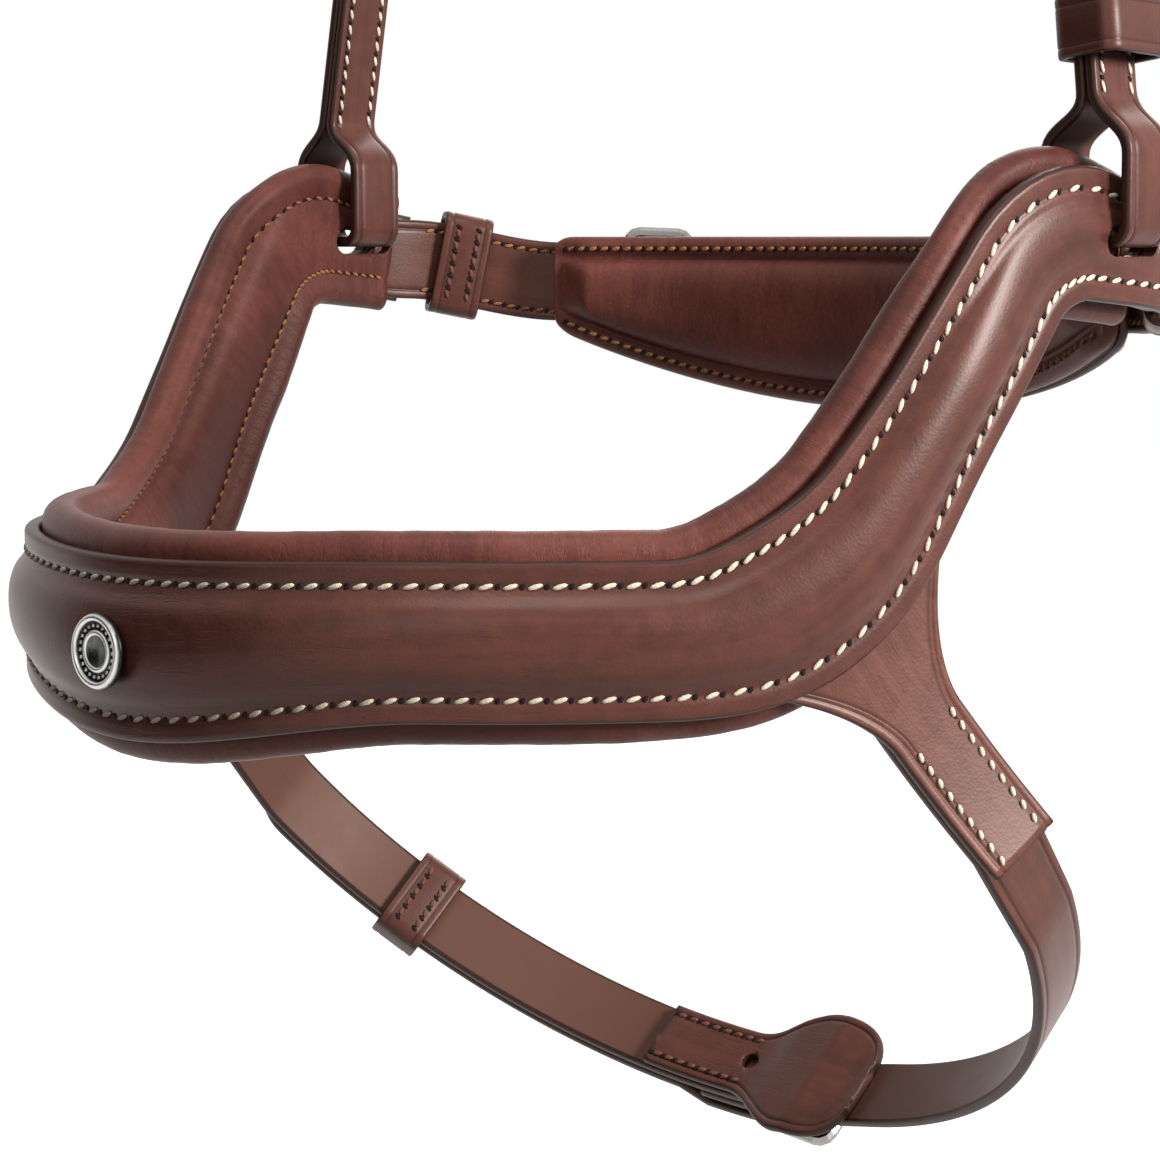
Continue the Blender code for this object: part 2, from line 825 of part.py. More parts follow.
def build_badge(materials):
    face = outer_thickness + crown_at(0) + touch_gap
    base = ring_point(0, band_flat(0, 0)[1], face)
    profile = [(0, 0), (badge_radius * 0.82, 0), (badge_radius, badge_height * 0.35), (badge_radius, badge_height * 0.6)]
    profile += [(badge_radius - badge_rim * 0.45, badge_height), (badge_radius - badge_rim, badge_height)]
    profile += [(badge_radius - badge_rim, badge_height - badge_recess), (badge_radius * 0.5, badge_height - badge_recess)]
    profile += [(badge_radius * 0.46, badge_height - badge_recess * 0.2), (0, badge_height - badge_recess * 0.2)]
    turned("badge_cap", profile, base, 40, materials["metal"])
    post_length = outer_thickness + crown_at(0) + touch_gap
    hole = badge_post_radius + touch_gap
    foot = [(0, 0), (badge_foot_radius, 0), (badge_foot_radius, badge_foot_height), (badge_post_radius, badge_foot_height)]
    foot += [(badge_post_radius, post_length), (0, post_length)]
    back = ring_point(0, band_flat(0, 0)[1], -badge_foot_height - touch_gap)
    turned("badge_post", foot, back, 20, materials["metal"])
    drill = [(0, -overrun), (hole, -overrun), (hole, post_length + overrun), (0, post_length + overrun)]
    seat_radius = badge_foot_radius + touch_gap
    well = [(0, -touch_gap * 2 - badge_foot_height), (seat_radius, -touch_gap * 2 - badge_foot_height), (seat_radius, post_length), (0, post_length)]
    return turned("badge_drill", drill, back, 20, materials["metal"]), turned("badge_well", well, back, 20, materials["metal"])


def turned(name, profile, base, steps, material):
    """A solid of revolution about the direction straight ahead (-Y) at base; profile is (radius, forward)."""
    shape = bmesh.new()
    rows = []
    for radius, forward in profile:
        if radius == 0:
            rows.append([shape.verts.new(base + Vector((0, -forward, 0)))])
            continue
        row = []
        for k in range(steps):
            angle = 2 * math.pi * k / steps
            row.append(shape.verts.new(base + Vector((radius * math.cos(angle), -forward, radius * math.sin(angle)))))
        rows.append(row)
    for first, second in zip(rows, rows[1:]):
        for k in range(steps):
            m = (k + 1) % steps
            if len(first) == 1:
                shape.faces.new((first[0], second[m], second[k]))
            elif len(second) == 1:
                shape.faces.new((first[k], first[m], second[0]))
            else:
                shape.faces.new((first[k], first[m], second[m], second[k]))
    bmesh.ops.recalc_face_normals(shape, faces=shape.faces)
    return add_object(name, shape, material)


def build_noseband(materials):
    slots = [slot_cutter(1, materials["leather"]), slot_cutter(-1, materials["leather"])]
    full = band_stations(band_end, (8, 5, 4, 5, 4))
    outer = band_loft("noseband_outer", outer_section, full, materials["leather"])
    filler_end = peak_start * filler_end_share + peak_end * (1 - filler_end_share)
    filler_runs = [run for run in full if abs(run) <= filler_end]
    filler = band_loft("noseband_filler", filler_section, filler_runs, materials["filler"])
    lining_end = band_end * lining_end_share
    lining_runs = band_stations(lining_end, (5, 3, 2, 6, 2))
    lining = band_loft("noseband_lining", lining_section, lining_runs, materials["lining"], paired=True)
    foam = band_loft("noseband_foam", foam_section, lining_runs[1:-1], materials["foam"], paired=True)
    for slot in slots:
        for target in (outer, lining, foam):
            cut(target, slot)
    drill, well = build_badge(materials)
    cut(outer, drill)
    cut(filler, drill)
    cut(foam, well)
    return slots


# Y-pieces


def y_half_width(share):
    web = max(0.0, 1 - share / y_web_share)
    return y_leg_width / 2 + y_web_width / 2 * web**y_web_power


def y_flat(share, across):
    """Flat place of a point of the Y-piece; across is positive towards the rear edge."""
    fall = math.radians(y_fall_deg)
    run = y_root_run + y_length * share * math.cos(fall) + across * math.sin(fall)
    height = -y_root_drop - y_length * share * math.sin(fall) + across * math.cos(fall)
    return run, height


def y_point(share, across, out, side=1):
    run, height = y_flat(share, across)
    return ring_point(side * run, height, out + y_flare * share * share)


def build_y_piece(name, side, materials):
    shares = [0, 0.07, 0.15, 0.24, 0.34, 0.44, 0.6, 0.8, 1.0]
    middle = -touch_gap * 1.5 - y_thickness / 2
    rings = []
    for share in shares:
        half = y_half_width(share)
        ring = []
        lanes = (-1, -0.5, 0, 0.5, 1)
        for off, order in ((-0.5, lanes), (0.5, lanes[::-1])):
            for lane in order:
                ring.append(y_point(share, lane * half, middle + off * y_thickness, side))
        rings.append(ring)
    return loft(name, rings, materials["leather"], paired=True)


# Chin strap


def chin_route():
    """From under the near Y-piece, down and round under the chin, to the far Y-piece."""
    under = -touch_gap * 2.5 - y_thickness - chin_thickness / 2
    points, widths = [], []
    for k in range(13):
        share = chin_root_share + (1 - chin_root_share) * k / 13
        points.append(y_point(share, 0, under))
        widths.append((y_point(share, y_leg_width / 2, under) - y_point(share, -y_leg_width / 2, under)).normalized())
    top = y_point(1.0, 0, under)
    fall = math.radians(chin_fall_deg)
    down = Vector((0, math.cos(fall), -math.sin(fall)))
    wide = Vector((0, math.sin(fall), math.cos(fall)))
    for k in range(8, 61):
        angle = math.pi / 2 * k / 60
        place = Vector(((top.x + chin_spread) * math.cos(angle), top.y, top.z)) + down * (chin_drop * math.sin(angle))
        points.append(place)
        widths.append(wide)
    far_points = [Vector((-p.x, p.y, p.z)) for p in reversed(points[:-1])]
    far_widths = [Vector((-w.x, w.y, w.z)) for w in reversed(widths[:-1])]
    return Route(points + far_points, widths + far_widths)


def build_chin_strap(materials):
    route = chin_route()
    middle = route.length / 2
    bar = middle - chin_bar_past_middle
    under, over_bar, over_lap, past_lap = billet_outs(0, chin_thickness)
    lap_end = bar + fold_length
    tip = route.length - route.nearest(y_point(1.0, 0, 0)) - chin_tip_to_y
    places = [(0, 0), (bar - frame_length * 2, 0), (bar - frame_length * 1.05, under), (bar - frame_length * 0.8, under)]
    places += [(bar, over_bar), (bar + bar_bulge(chin_thickness) * 2, over_lap), (lap_end, over_lap)]
    places += [(lap_end + overrun, past_lap), (tip, past_lap)]
    places = [(0, 0)] + places[1:]
    line = smooth_line(places, chin_width / 2)
    billet = strap("chin_billet", route.place, line, chin_width, chin_thickness, materials["strap"], pointed=True)
    back_leaf = -chin_thickness / 2 - touch_gap / 2
    main = smooth_line([(bar + bar_bulge(chin_thickness) * 2.2, back_leaf), (route.length, back_leaf)], chin_width / 2)[1:]
    folded = fold_line(bar, 1, 0, chin_thickness, main, fold_length)
    buckle_strap = strap("chin_buckle_strap", route.place, folded, chin_width, chin_thickness, materials["strap"])
    bench = Bench(route.place, (bar, 0), (-1, 0))
    bench.out = -bench.out
    bench.across = bench.along.cross(bench.out)
    buckle_frame("chin_buckle_frame", bench, chin_width, materials["metal"])
    buckle_tongue("chin_buckle_tongue", bench, materials["metal"])
    cut_bar_slot(buckle_strap, "chin_bar_cutter", bench, materials["metal"])
    punch_used_hole(billet, "chin_used_hole", route.place, line, bar, -1, materials)
    for k in range(spare_holes):
        far = bar + hole_spacing * (k + 1)
        out = float(np.interp(far, [p[0] for p in line], [p[1] for p in line]))
        punch(billet, "chin_hole_%d" % k, route.place, (far, out), (1, 0), hole_radius * 2, materials["metal"])
    spot = middle + chin_keeper_past_middle
    keeper_bench = Bench(route.place, (spot, 0), (1, 0))
    keeper("chin_keeper", keeper_bench, chin_width, back_leaf - chin_thickness / 2, past_lap + chin_thickness / 2, materials["strap"])
    build_chin_guard(route, bar, materials)
    return route, bar, bench, keeper_bench


def punch_used_hole(target, name, place, line, bar, direction, materials):
    """The oval hole that the tongue stands in, where its line crosses the billet's."""
    runs = [p[0] for p in line]
    outs = [p[1] for p in line]
    order = np.argsort(runs)
    runs = np.array(runs)[order]
    outs = np.array(outs)[order]
    tongue = tongue_line()[-4:]
    places = [bar + direction * t for t, n in tongue]
    best = None
    for k in range(60):
        t = frame_length * k / 60
        lift = float(np.interp(t, [p[0] for p in tongue], [p[1] for p in tongue]))
        out = float(np.interp(bar + direction * t, runs, outs))
        gap = abs(out - lift)
        if best is None or gap < best[0]:
            best = (gap, bar + direction * t, out)
    spot, out = best[1], best[2]
    ahead = float(np.interp(spot + probe, runs, outs)) - float(np.interp(spot - probe, runs, outs))
    size = math.hypot(2 * probe, ahead)
    del places
    punch(target, name, place, (spot, out), (2 * probe / size, ahead / size), used_hole_length, materials["metal"])


def guard_width_at(distance):
    """Width of the chin guard at a distance ahead of the heel bar (negative on its neck)."""
    widest = guard_blade_reach * guard_widest_share
    if distance > widest:
        share = min((distance - widest) / (guard_blade_reach - widest), 1.0)
        return guard_width * (guard_end_share + (1 - guard_end_share) * (1 - share**3.2) ** 0.6)
    places = (-guard_neck_reach, -guard_neck_reach * 0.36, widest)
    return blend_table(distance, places, (guard_neck_width, guard_neck_width, guard_width))


def build_chin_guard(route, bar, materials):
    neck = -chin_thickness - touch_gap * 1.5 - guard_thickness / 2
    bulge = -bar_bulge(chin_thickness) - chin_thickness / 2 - touch_gap - guard_thickness / 2
    end = -chin_thickness / 2 - touch_gap - guard_thickness / 2
    places = [(bar + guard_neck_reach, neck), (bar + frame_length * 0.7, neck), (bar, bulge), (bar - frame_length * 0.7, bulge)]
    places += [(bar - guard_blade_reach, end)]
    line = smooth_line(places, guard_blade_reach / 5)
    last = line[-2]
    for share in (0.4, 0.7, 0.88):
        line.insert(-1, (last[0] + (line[-1][0] - last[0]) * share, last[1] + (end - last[1]) * ease(share)))
    guard = strap(
        "chin_guard", route.place, line, guard_width, guard_thickness, materials["strap"],
        widths=lambda run: guard_width_at(bar - run),
    )
    spot = bar + guard_hole_back
    punch(guard, "guard_hole", route.place, (spot, neck), (1, 0), guard_hole_radius * 2, materials["metal"])


# Jaw strap


def jaw_height(run):
    places = (jaw_root_run, tail_run, pad_end_run, ring_half)
    start = band_flat(peak_end, 0)[1]
    return blend_table(run, places, (start, tail_height, -jaw_end_drop, -jaw_middle_drop))


def jaw_route():
    points = []
    steps = 160
    for k in range(steps + 1):
        run = jaw_root_run + (2 * ring_half - 2 * jaw_root_run) * k / steps
        level = jaw_height(run if run <= ring_half else 2 * ring_half - run)
        points.append(ring_point(run, level, 0))
    return Route(points, [Vector((0, 0, 1))] * len(points))


def mirrored(place, length):
    """The far half of a route, read from its far end."""

    def other(run, across, out):
        return place(length - run, across, out)

    return other


def build_jaw_strap(materials, slots):
    route = jaw_route()
    near_bar = route.nearest(ring_point(jaw_bar_run, jaw_height(jaw_bar_run), 0))
    tip = route.nearest(ring_point(jaw_tip_run, jaw_height(jaw_tip_run), 0))
    spot = route.nearest(ring_point(jaw_keeper_run, jaw_height(jaw_keeper_run), 0))
    middle = route.length / 2
    centre_out = -touch_gap * 1.5 - jaw_thickness / 2 + jaw_thickness / 2 + touch_gap / 2
    main_out = centre_out - jaw_thickness / 2 - touch_gap / 2
    under, over_bar, over_lap, past_lap = billet_outs(centre_out, jaw_thickness)
    lap_end = near_bar - fold_length
    backing_face = centre_out - bar_bulge(jaw_thickness) - jaw_thickness / 2 - touch_gap
    sewn = backing_face + touch_gap + jaw_thickness / 2
    half = [(tip, past_lap), (lap_end - overrun, past_lap), (lap_end, over_lap), (near_bar - bar_bulge(jaw_thickness) * 2, over_lap)]
    half += [(near_bar, over_bar), (near_bar + frame_length * 0.8, under), (near_bar + frame_length * 1.05, under)]
    half += [(near_bar + frame_length * 2.3, sewn), (middle, sewn)]
    far_half = [(route.length - a, b) for a, b in reversed(half[:-1])]
    line = smooth_line(half + far_half, jaw_width / 2)
    line = with_tip(list(reversed(with_tip(line))))
    tips = (line[0][0], line[-1][0])

    def width_at(run):
        left = min(abs(run - tips[0]), abs(run - tips[1]))
        return jaw_width * tip_share(left)

    pad_strap = strap("jaw_pad_strap", route.place, line, jaw_width, jaw_thickness, materials["strap"], widths=width_at)
    benches = {}
    for side, label in ((1, "near"), (-1, "far")):
        place = route.place if side > 0 else mirrored(route.place, route.length)
        main = smooth_line([(near_bar - bar_bulge(jaw_thickness) * 2.2, main_out), (0, main_out)], jaw_width / 2)[1:]
        folded = fold_line(near_bar, -1, centre_out, jaw_thickness, main, fold_length)
        tail = strap("jaw_buckle_strap_" + label, place, folded, jaw_width, jaw_thickness, materials["strap"])
        cut(tail, slots[0] if side > 0 else slots[1])
        bench = outward_bench(place, (near_bar, centre_out), (1, 0))
        buckle_frame("jaw_buckle_frame_" + label, bench, jaw_width, materials["metal"])
        buckle_tongue("jaw_buckle_tongue_" + label, bench, materials["metal"])
        cut_bar_slot(tail, "jaw_bar_cutter_" + label, bench, materials["metal"])
        near_line = line if side > 0 else [(route.length - a, b) for a, b in line]
        shifted = [(a, b - centre_out) for a, b in near_line]
        punch_jaw_hole(pad_strap, label, place, shifted, near_bar, centre_out, materials)
        ring = outward_bench(place, (spot, 0), (1, 0))
        keeper(
            "jaw_keeper_" + label, ring, jaw_width, main_out - jaw_thickness / 2, past_lap + jaw_thickness / 2, materials["strap"]
        )
        benches[label] = (bench, ring)
    build_jaw_pad(route, backing_face, materials)
    return route, benches


def outward_bench(place, point, along):
    """A bench whose outer side is the strap's outer side, whichever way along points."""
    bench = Bench(place, point, along)
    outward = place(point[0], 0, point[1] + probe) - place(point[0], 0, point[1])
    if bench.out.dot(outward) < 0:
        bench.out = -bench.out
    bench.across = bench.along.cross(bench.out)
    return bench


def punch_jaw_hole(target, label, place, line, bar, centre_out, materials):
    def lifted(run, across, out):
        return place(run, across, out + centre_out)

    punch_used_hole(target, "jaw_used_hole_" + label, lifted, line, bar, 1, materials)
    run = bar - hole_spacing
    outs = sorted(line)
    out = float(np.interp(run, [p[0] for p in outs], [p[1] for p in outs]))
    punch(target, "jaw_hole_" + label, lifted, (run, out), (1, 0), hole_radius * 2, materials["metal"])


def pad_edges(run):
    """Top and bottom of the jaw pad at a distance from the nose centre along the ring."""
    share = (run - ring_half) / (ring_half - pad_end_run)
    return pad_top, pad_top - pad_end_height - pad_belly * max(0.0, 1 - share * share)


def pad_place(run, height, out):
    return ring_point(run, height, out)


def pad_end_share(run, border):
    """Height of the pad's section near its ends, as a share, for its round corners."""
    left = min(run - pad_end_run, 2 * ring_half - pad_end_run - run) - border
    if left >= pad_border:
        return 1.0
    return 0.78 + 0.22 * math.sqrt(max(0.0, 1 - (1 - max(left, 0.0) / pad_border) ** 2))


def pad_runs(inset, steps):
    start = pad_end_run + inset
    end = 2 * ring_half - start
    inner = [start + (end - start) * k / steps for k in range(steps + 1)]
    extra = [start + pad_border * share for share in (0.15, 0.5)]
    extra += [end - pad_border * share for share in (0.15, 0.5)]
    return sorted(inner + extra)


def build_jaw_pad(route, backing_face, materials):
    back = backing_face
    rings = []
    for run in pad_runs(0, 16):
        top, bottom = pad_edges(run)
        middle, half = (top + bottom) / 2, (top - bottom) / 2 * pad_end_share(run, 0)
        section = leather_section(half, pad_backing_thickness / 2)
        rings.append([pad_place(run, middle + across, back - pad_backing_thickness / 2 + off) for across, off in section])
    loft("jaw_pad_backing", rings, materials["strap"])
    front = back - pad_backing_thickness - touch_gap
    skin_rings, foam_rings = [], []
    for run in pad_runs(0, 18):
        outside, inside = pad_outline(run, front)
        skin_rings.append([pad_place(run, a, b) for a, b in outside + inside[::-1]])
        if pad_left(run) > pad_border * 2:
            core = inset_line(inside[3:-3], -foam_gap)
            foam_rings.append([pad_place(run, a, min(b, front - foam_gap)) for a, b in core])
    loft("jaw_pad_lining", skin_rings, materials["lining"], paired=True)
    loft("jaw_pad_foam", foam_rings, materials["foam"])


def pad_left(run):
    """Distance from a place on the jaw pad to its nearer end."""
    return min(run - pad_end_run, 2 * ring_half - pad_end_run - run)


def pad_outline(run, front):
    """The pad's soft side: its outside, with a border round a raised middle, and the hollow for its foam."""
    top, bottom = pad_edges(run)
    middle, half = (top + bottom) / 2, (top - bottom) / 2 * pad_end_share(run, 0)
    rise = ease(pad_left(run) / (pad_border * 2))
    border = pad_border_depth * (0.6 + 0.4 * rise)
    depth = border + (pad_depth - pad_border_depth) * rise
    groove = border - pad_skin * rise
    hollow = (depth - pad_skin - touch_gap) * rise + touch_gap
    inner = half - pad_border
    upper = [(half - edge_round, 0), (half, -border * 0.4), (half - pad_border * 0.35, -border), (inner, -groove)]
    upper += [(inner * 0.72, -depth * 0.94)]
    outside = upper + [(0, -depth)] + [(-a, b) for a, b in reversed(upper)]
    rim = [(half - pad_border * share, 0) for share in (0.25, 0.5, 0.75)]
    rim += [(inner - pad_skin, 0), (inner * 0.72 - pad_skin * 0.5, -hollow * 0.92)]
    inside = rim + [(0, -hollow)] + [(-a, b) for a, b in reversed(rim)]
    return [(middle + a, front + b) for a, b in outside], [(middle + a, front + b) for a, b in inside]


# Head strap and near hanger


def head_place(x, across, height):
    """Plane of the head strap: it leans back, so that its top lies over the origin."""
    share = min(max((height - leg_join_height) / (slot_drop - leg_join_height), 0.0), 1.0)
    return Vector((x, -slot_forward * (1 - share) + across, height - slot_drop))


def lean_x(height):
    """Middle of the doubled strap, on the near side, at a height over the slots."""
    lean = math.tan(math.radians(hanger_lean_deg))
    return slot_wall_x + leg_middle() - (height - leg_join_height) * lean


def leg_outs():
    """Middle lines of the hanger's outer and inner legs, from the wall."""
    outer = outer_thickness + crown_at(slot_place()) + leg_gap + head_thickness / 2
    deepest = min(out for across, out in lining_outline(slot_place()))
    inner = deepest - inner_leg_gap - head_thickness / 2
    return outer, inner


def leg_middle():
    outer, inner = leg_outs()
    return (outer + inner) / 2


def slot_place():
    nearest = np.argmin(np.abs(band_points[:, 0] - slot_run))
    return float(band_length[nearest])


def slot_turn():
    """The strap's way through the slot, on the near side, from its inner leg to its outer leg."""
    outer, inner = leg_outs()
    radius = leg_turn_radius
    low = arc((slot_wall_x + inner + radius, radius), radius, 180, 270, 5)
    high = arc((slot_wall_x + outer - radius, radius), radius, 270, 360, 5)
    return low + high


def lean_point(height, out):
    lean = math.radians(hanger_lean_deg)
    return lean_x(height) + out * math.cos(lean), height + out * math.sin(lean)


def leg_line(top_out, bottom_x, start_height, end_height):
    """A leg from the doubled part down to beside the band, as (x, height) points."""
    straight = peak_width / 2 + leg_turn_radius
    top = lean_point(leg_join_height, top_out)
    low = (slot_wall_x + bottom_x, straight)
    lean = math.radians(hanger_lean_deg)
    pull = (leg_join_height - straight) * 0.5
    bend = curve_points(top, (top[0] + pull * math.sin(lean), top[1] - pull), (low[0], low[1] + pull), low, 6)
    points = []
    if start_height > leg_join_height:
        points.append(lean_point(start_height, top_out))
    points += bend
    points.append((low[0], end_height))
    return points


def build_head_strap(materials):
    leaf = head_thickness / 2 + touch_gap / 2
    outer, inner = leg_outs()
    down_inner = leg_line(-leaf, inner, far_lap_height, leg_turn_radius * 1.6)
    up_outer = leg_line(leaf, outer, leg_join_height, leg_turn_radius * 1.6)[::-1]
    far = down_inner + slot_turn() + up_outer
    for share in (0.25, 0.5, 0.75):
        far.append(lean_point(leg_join_height + (arch_height - leg_join_height) * share, leaf))
    start = lean_point(arch_height, leaf)
    lean = math.radians(hanger_lean_deg)
    crest = slot_drop + head_thickness / 2
    pull = (start[0] - arch_lift * math.sin(lean), start[1] + arch_lift * math.cos(lean))
    arch = curve_points(start, pull, (poll_flat / 2 + arch_reach, crest), (poll_flat / 2, crest), 12)
    far += arch
    far = [(-x, height) for x, height in far]
    bar = (lean_x(head_bar_height), head_bar_height)
    under, over_bar, over_lap, past_lap = billet_outs(0, head_thickness)
    near = arch[::-1]
    heights = [(head_bar_height + frame_length * 3, under), (head_bar_height + frame_length * 1.05, under)]
    heights += [(head_bar_height + frame_length * 0.8, under), (head_bar_height, over_bar)]
    heights += [(head_bar_height - bar_bulge(head_thickness) * 2, over_lap), (head_tip_height, over_lap)]
    for height, out in smooth_line(heights, head_width):
        near.append(lean_point(height, out))
    line = far + near
    head = strap("head_strap", head_place, line, head_width, head_thickness, materials["strap"], pointed=True)
    near_line = [lean_coordinates(x, h) for x, h in line[len(far) + len(arch):]]

    def lean_place(height, across, out):
        x, level = lean_point(height, out)
        return head_place(x, across, level)

    bench = outward_bench(lean_place, (head_bar_height, 0), (1, 0))
    punch_used_hole(head, "head_used_hole", lean_place, near_line, head_bar_height, 1, materials)
    for k in range(spare_holes):
        height = head_bar_height + frame_length + hole_spacing * (k + 1)
        spot = closest_on_line(line[len(far):], height)
        punch(head, "head_hole_%d" % k, head_place, spot[0], spot[1], hole_radius * 2, materials["metal"])
    loop_heights = [(hanger_end_height + hanger_end_gap, -leaf), (head_bar_height - bar_bulge(head_thickness) * 2.2, -leaf)]
    loop_heights += [(head_bar_height, -bar_bulge(head_thickness))]
    up = smooth_line(loop_heights, head_width)[:-1]
    turn = [(head_bar_height - bar_bulge(head_thickness) * math.cos(math.pi * (0.5 + k / 6)),
             -bar_bulge(head_thickness) * math.sin(math.pi * (0.5 + k / 6))) for k in range(7)]
    down = smooth_line([(head_bar_height, bar_bulge(head_thickness)), (head_bar_height - bar_bulge(head_thickness) * 2.2, leaf),
                        (leg_join_height, leaf)], head_width)[1:-1]
    loop = [lean_point(height, out) for height, out in up + turn + down]
    loop += leg_line(leaf, outer, leg_join_height, leg_turn_radius * 1.6) + slot_turn()[::-1]
    loop += leg_line(-leaf, inner, hanger_end_height, leg_turn_radius * 1.6)[::-1]
    hanger = strap("near_hanger", head_place, loop, head_width, head_thickness, materials["strap"])
    cut_bar_slot(hanger, "head_bar_cutter", bench, materials["metal"])
    buckle_frame("head_buckle_frame", bench, head_width, materials["metal"])
    buckle_tongue("head_buckle_tongue", bench, materials["metal"])
    low, high = -leaf - head_thickness / 2, over_lap + head_thickness / 2
    fixed = outward_bench(lean_place, (head_fixed_keeper_height, 0), (1, 0))
    loose = outward_bench(lean_place, (head_keeper_height, 0), (1, 0))
    keeper("head_keeper_fixed", fixed, head_width, low, high, materials["strap"])
    keeper("head_keeper_loose", loose, head_width, low, high, materials["strap"])
    return bar, bench, loose


def lean_coordinates(x, height):
    """Height and offset on the leaning line of a point of the plane."""
    lean = math.radians(hanger_lean_deg)
    out = (x - lean_x(height)) * math.cos(lean)
    return height - out * math.sin(lean), out


def closest_on_line(line, height):
    """Point and direction of a falling line at a height."""
    for (x0, h0), (x1, h1) in zip(line, line[1:]):
        if (h0 - height) * (h1 - height) <= 0 and h0 != h1:
            share = (h0 - height) / (h0 - h1)
            size = math.hypot(x1 - x0, h1 - h0)
            return (x0 + (x1 - x0) * share, height), ((x1 - x0) / size, (h1 - h0) / size)
    return line[-1], (0.0, -1.0)


def build():
    clear_scene()
    materials = {
        "leather": make_material("bridle_leather", (0.11, 0.04, 0.028), 0.42),
        "strap": make_material("strap_leather", (0.09, 0.033, 0.024), 0.45),
        "lining": make_material("lining_leather", (0.12, 0.035, 0.026), 0.55),
        "filler": make_material("filler_leather", (0.2, 0.12, 0.07), 0.8),
        "foam": make_material("foam", (0.6, 0.58, 0.5), 0.9),
        "metal": make_material("buckle_metal", (0.55, 0.53, 0.5), 0.3, 1.0),
    }
    slots = build_noseband(materials)
    build_y_piece("y_piece_near", 1, materials)
    build_y_piece("y_piece_far", -1, materials)
    build_chin_strap(materials)
    build_jaw_strap(materials, slots)
    build_head_strap(materials)


build()
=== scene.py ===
import math

import bmesh
import bpy
import numpy as np
from mathutils import Matrix, Vector


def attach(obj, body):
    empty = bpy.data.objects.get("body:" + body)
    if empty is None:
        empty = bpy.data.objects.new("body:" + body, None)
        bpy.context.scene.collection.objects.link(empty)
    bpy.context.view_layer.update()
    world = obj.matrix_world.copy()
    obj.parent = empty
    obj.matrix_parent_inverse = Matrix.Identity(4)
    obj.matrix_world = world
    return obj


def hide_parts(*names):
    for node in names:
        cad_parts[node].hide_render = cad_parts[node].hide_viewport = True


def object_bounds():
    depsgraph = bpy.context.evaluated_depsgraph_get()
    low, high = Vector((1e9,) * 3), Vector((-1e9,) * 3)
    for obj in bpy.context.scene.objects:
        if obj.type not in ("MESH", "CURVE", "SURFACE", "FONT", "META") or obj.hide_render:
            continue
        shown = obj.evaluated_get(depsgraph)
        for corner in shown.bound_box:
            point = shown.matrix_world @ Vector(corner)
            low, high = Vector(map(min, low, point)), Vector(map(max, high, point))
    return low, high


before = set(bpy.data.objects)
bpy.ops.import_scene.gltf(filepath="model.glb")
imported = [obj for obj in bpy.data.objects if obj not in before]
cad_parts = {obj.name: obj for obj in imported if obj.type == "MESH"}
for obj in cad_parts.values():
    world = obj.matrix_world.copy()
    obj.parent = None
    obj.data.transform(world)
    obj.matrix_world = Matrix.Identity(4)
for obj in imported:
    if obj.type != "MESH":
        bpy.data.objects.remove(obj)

cadLow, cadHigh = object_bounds()
mm = 0.001
print("frame loaded")

# Section of the head that everything is wrapped round
head = {
    "halfWidth": 106.4 * mm,
    "front": 144.4 * mm,
    "rear": 66.1 * mm,
    "drop": 415 * mm,
    "slotRun": 194.8 * mm,
    "slotY": -17 * mm,
    "steps": 720,
}


def ringTable():
    angles = np.linspace(0, np.pi, head["steps"] + 1)
    x = head["halfWidth"] * np.sin(angles)
    y = -np.cos(angles) * np.where(np.cos(angles) > 0, head["front"], head["rear"])
    return np.concatenate([[0], np.cumsum(np.hypot(np.diff(x), np.diff(y)))]), x, y


ringRun, ringX, ringY = ringTable()
ringHalf = float(ringRun[-1])
ringBack = head["slotY"] - float(np.interp(head["slotRun"], ringRun, ringY))


def ringPoint(run, height, out):
    # a point by its run round the head from the nose, its height over the slots and its distance out
    run, height, out = np.broadcast_arrays(run, height, out)
    side = np.where(run < 0, -1.0, 1.0)
    run = np.abs(run)
    side = np.where(run > ringHalf, -side, side)
    run = np.where(run > ringHalf, 2 * ringHalf - run, run)
    x, y = np.interp(run, ringRun, ringX), np.interp(run, ringRun, ringY)
    nx, ny = x / head["halfWidth"] ** 2, y / np.where(y < 0, head["front"], head["rear"]) ** 2
    size = np.hypot(nx, ny)
    x, y = side * (x + nx / size * out), y + ny / size * out + ringBack
    return np.stack([x, y, height - head["drop"]], -1)


def ease(share):
    share = np.clip(share, 0, 1)
    return share * share * (3 - 2 * share)


def easedTable(at, places, values):
    at = np.asarray(at, float)
    found = np.full(at.shape, float(values[0]))
    for low, high, first, second in zip(places, places[1:], values, values[1:]):
        found = np.where(at > low, first + (second - first) * ease((at - low) / (high - low)), found)
    return found


def arcPoints(centre, radius, start, end, steps):
    angles = np.radians(np.linspace(start, end, steps + 1))
    return [(centre[0] + radius * math.cos(a), centre[1] + radius * math.sin(a)) for a in angles]


def cornerArc(before, corner, after, radius, steps):
    first, second = Vector(corner) - Vector(before), Vector(after) - Vector(corner)
    turn = first.angle(second)
    first.normalize()
    start = Vector(corner) - first * radius * math.tan(turn / 2)
    side = Vector((-first.y, first.x))
    side = side if side.dot(second) > 0 else -side
    centre = start + side * radius
    angles = [turn * k / steps for k in range(steps + 1)]
    return [tuple(centre - side * radius * math.cos(a) + first * radius * math.sin(a)) for a in angles]


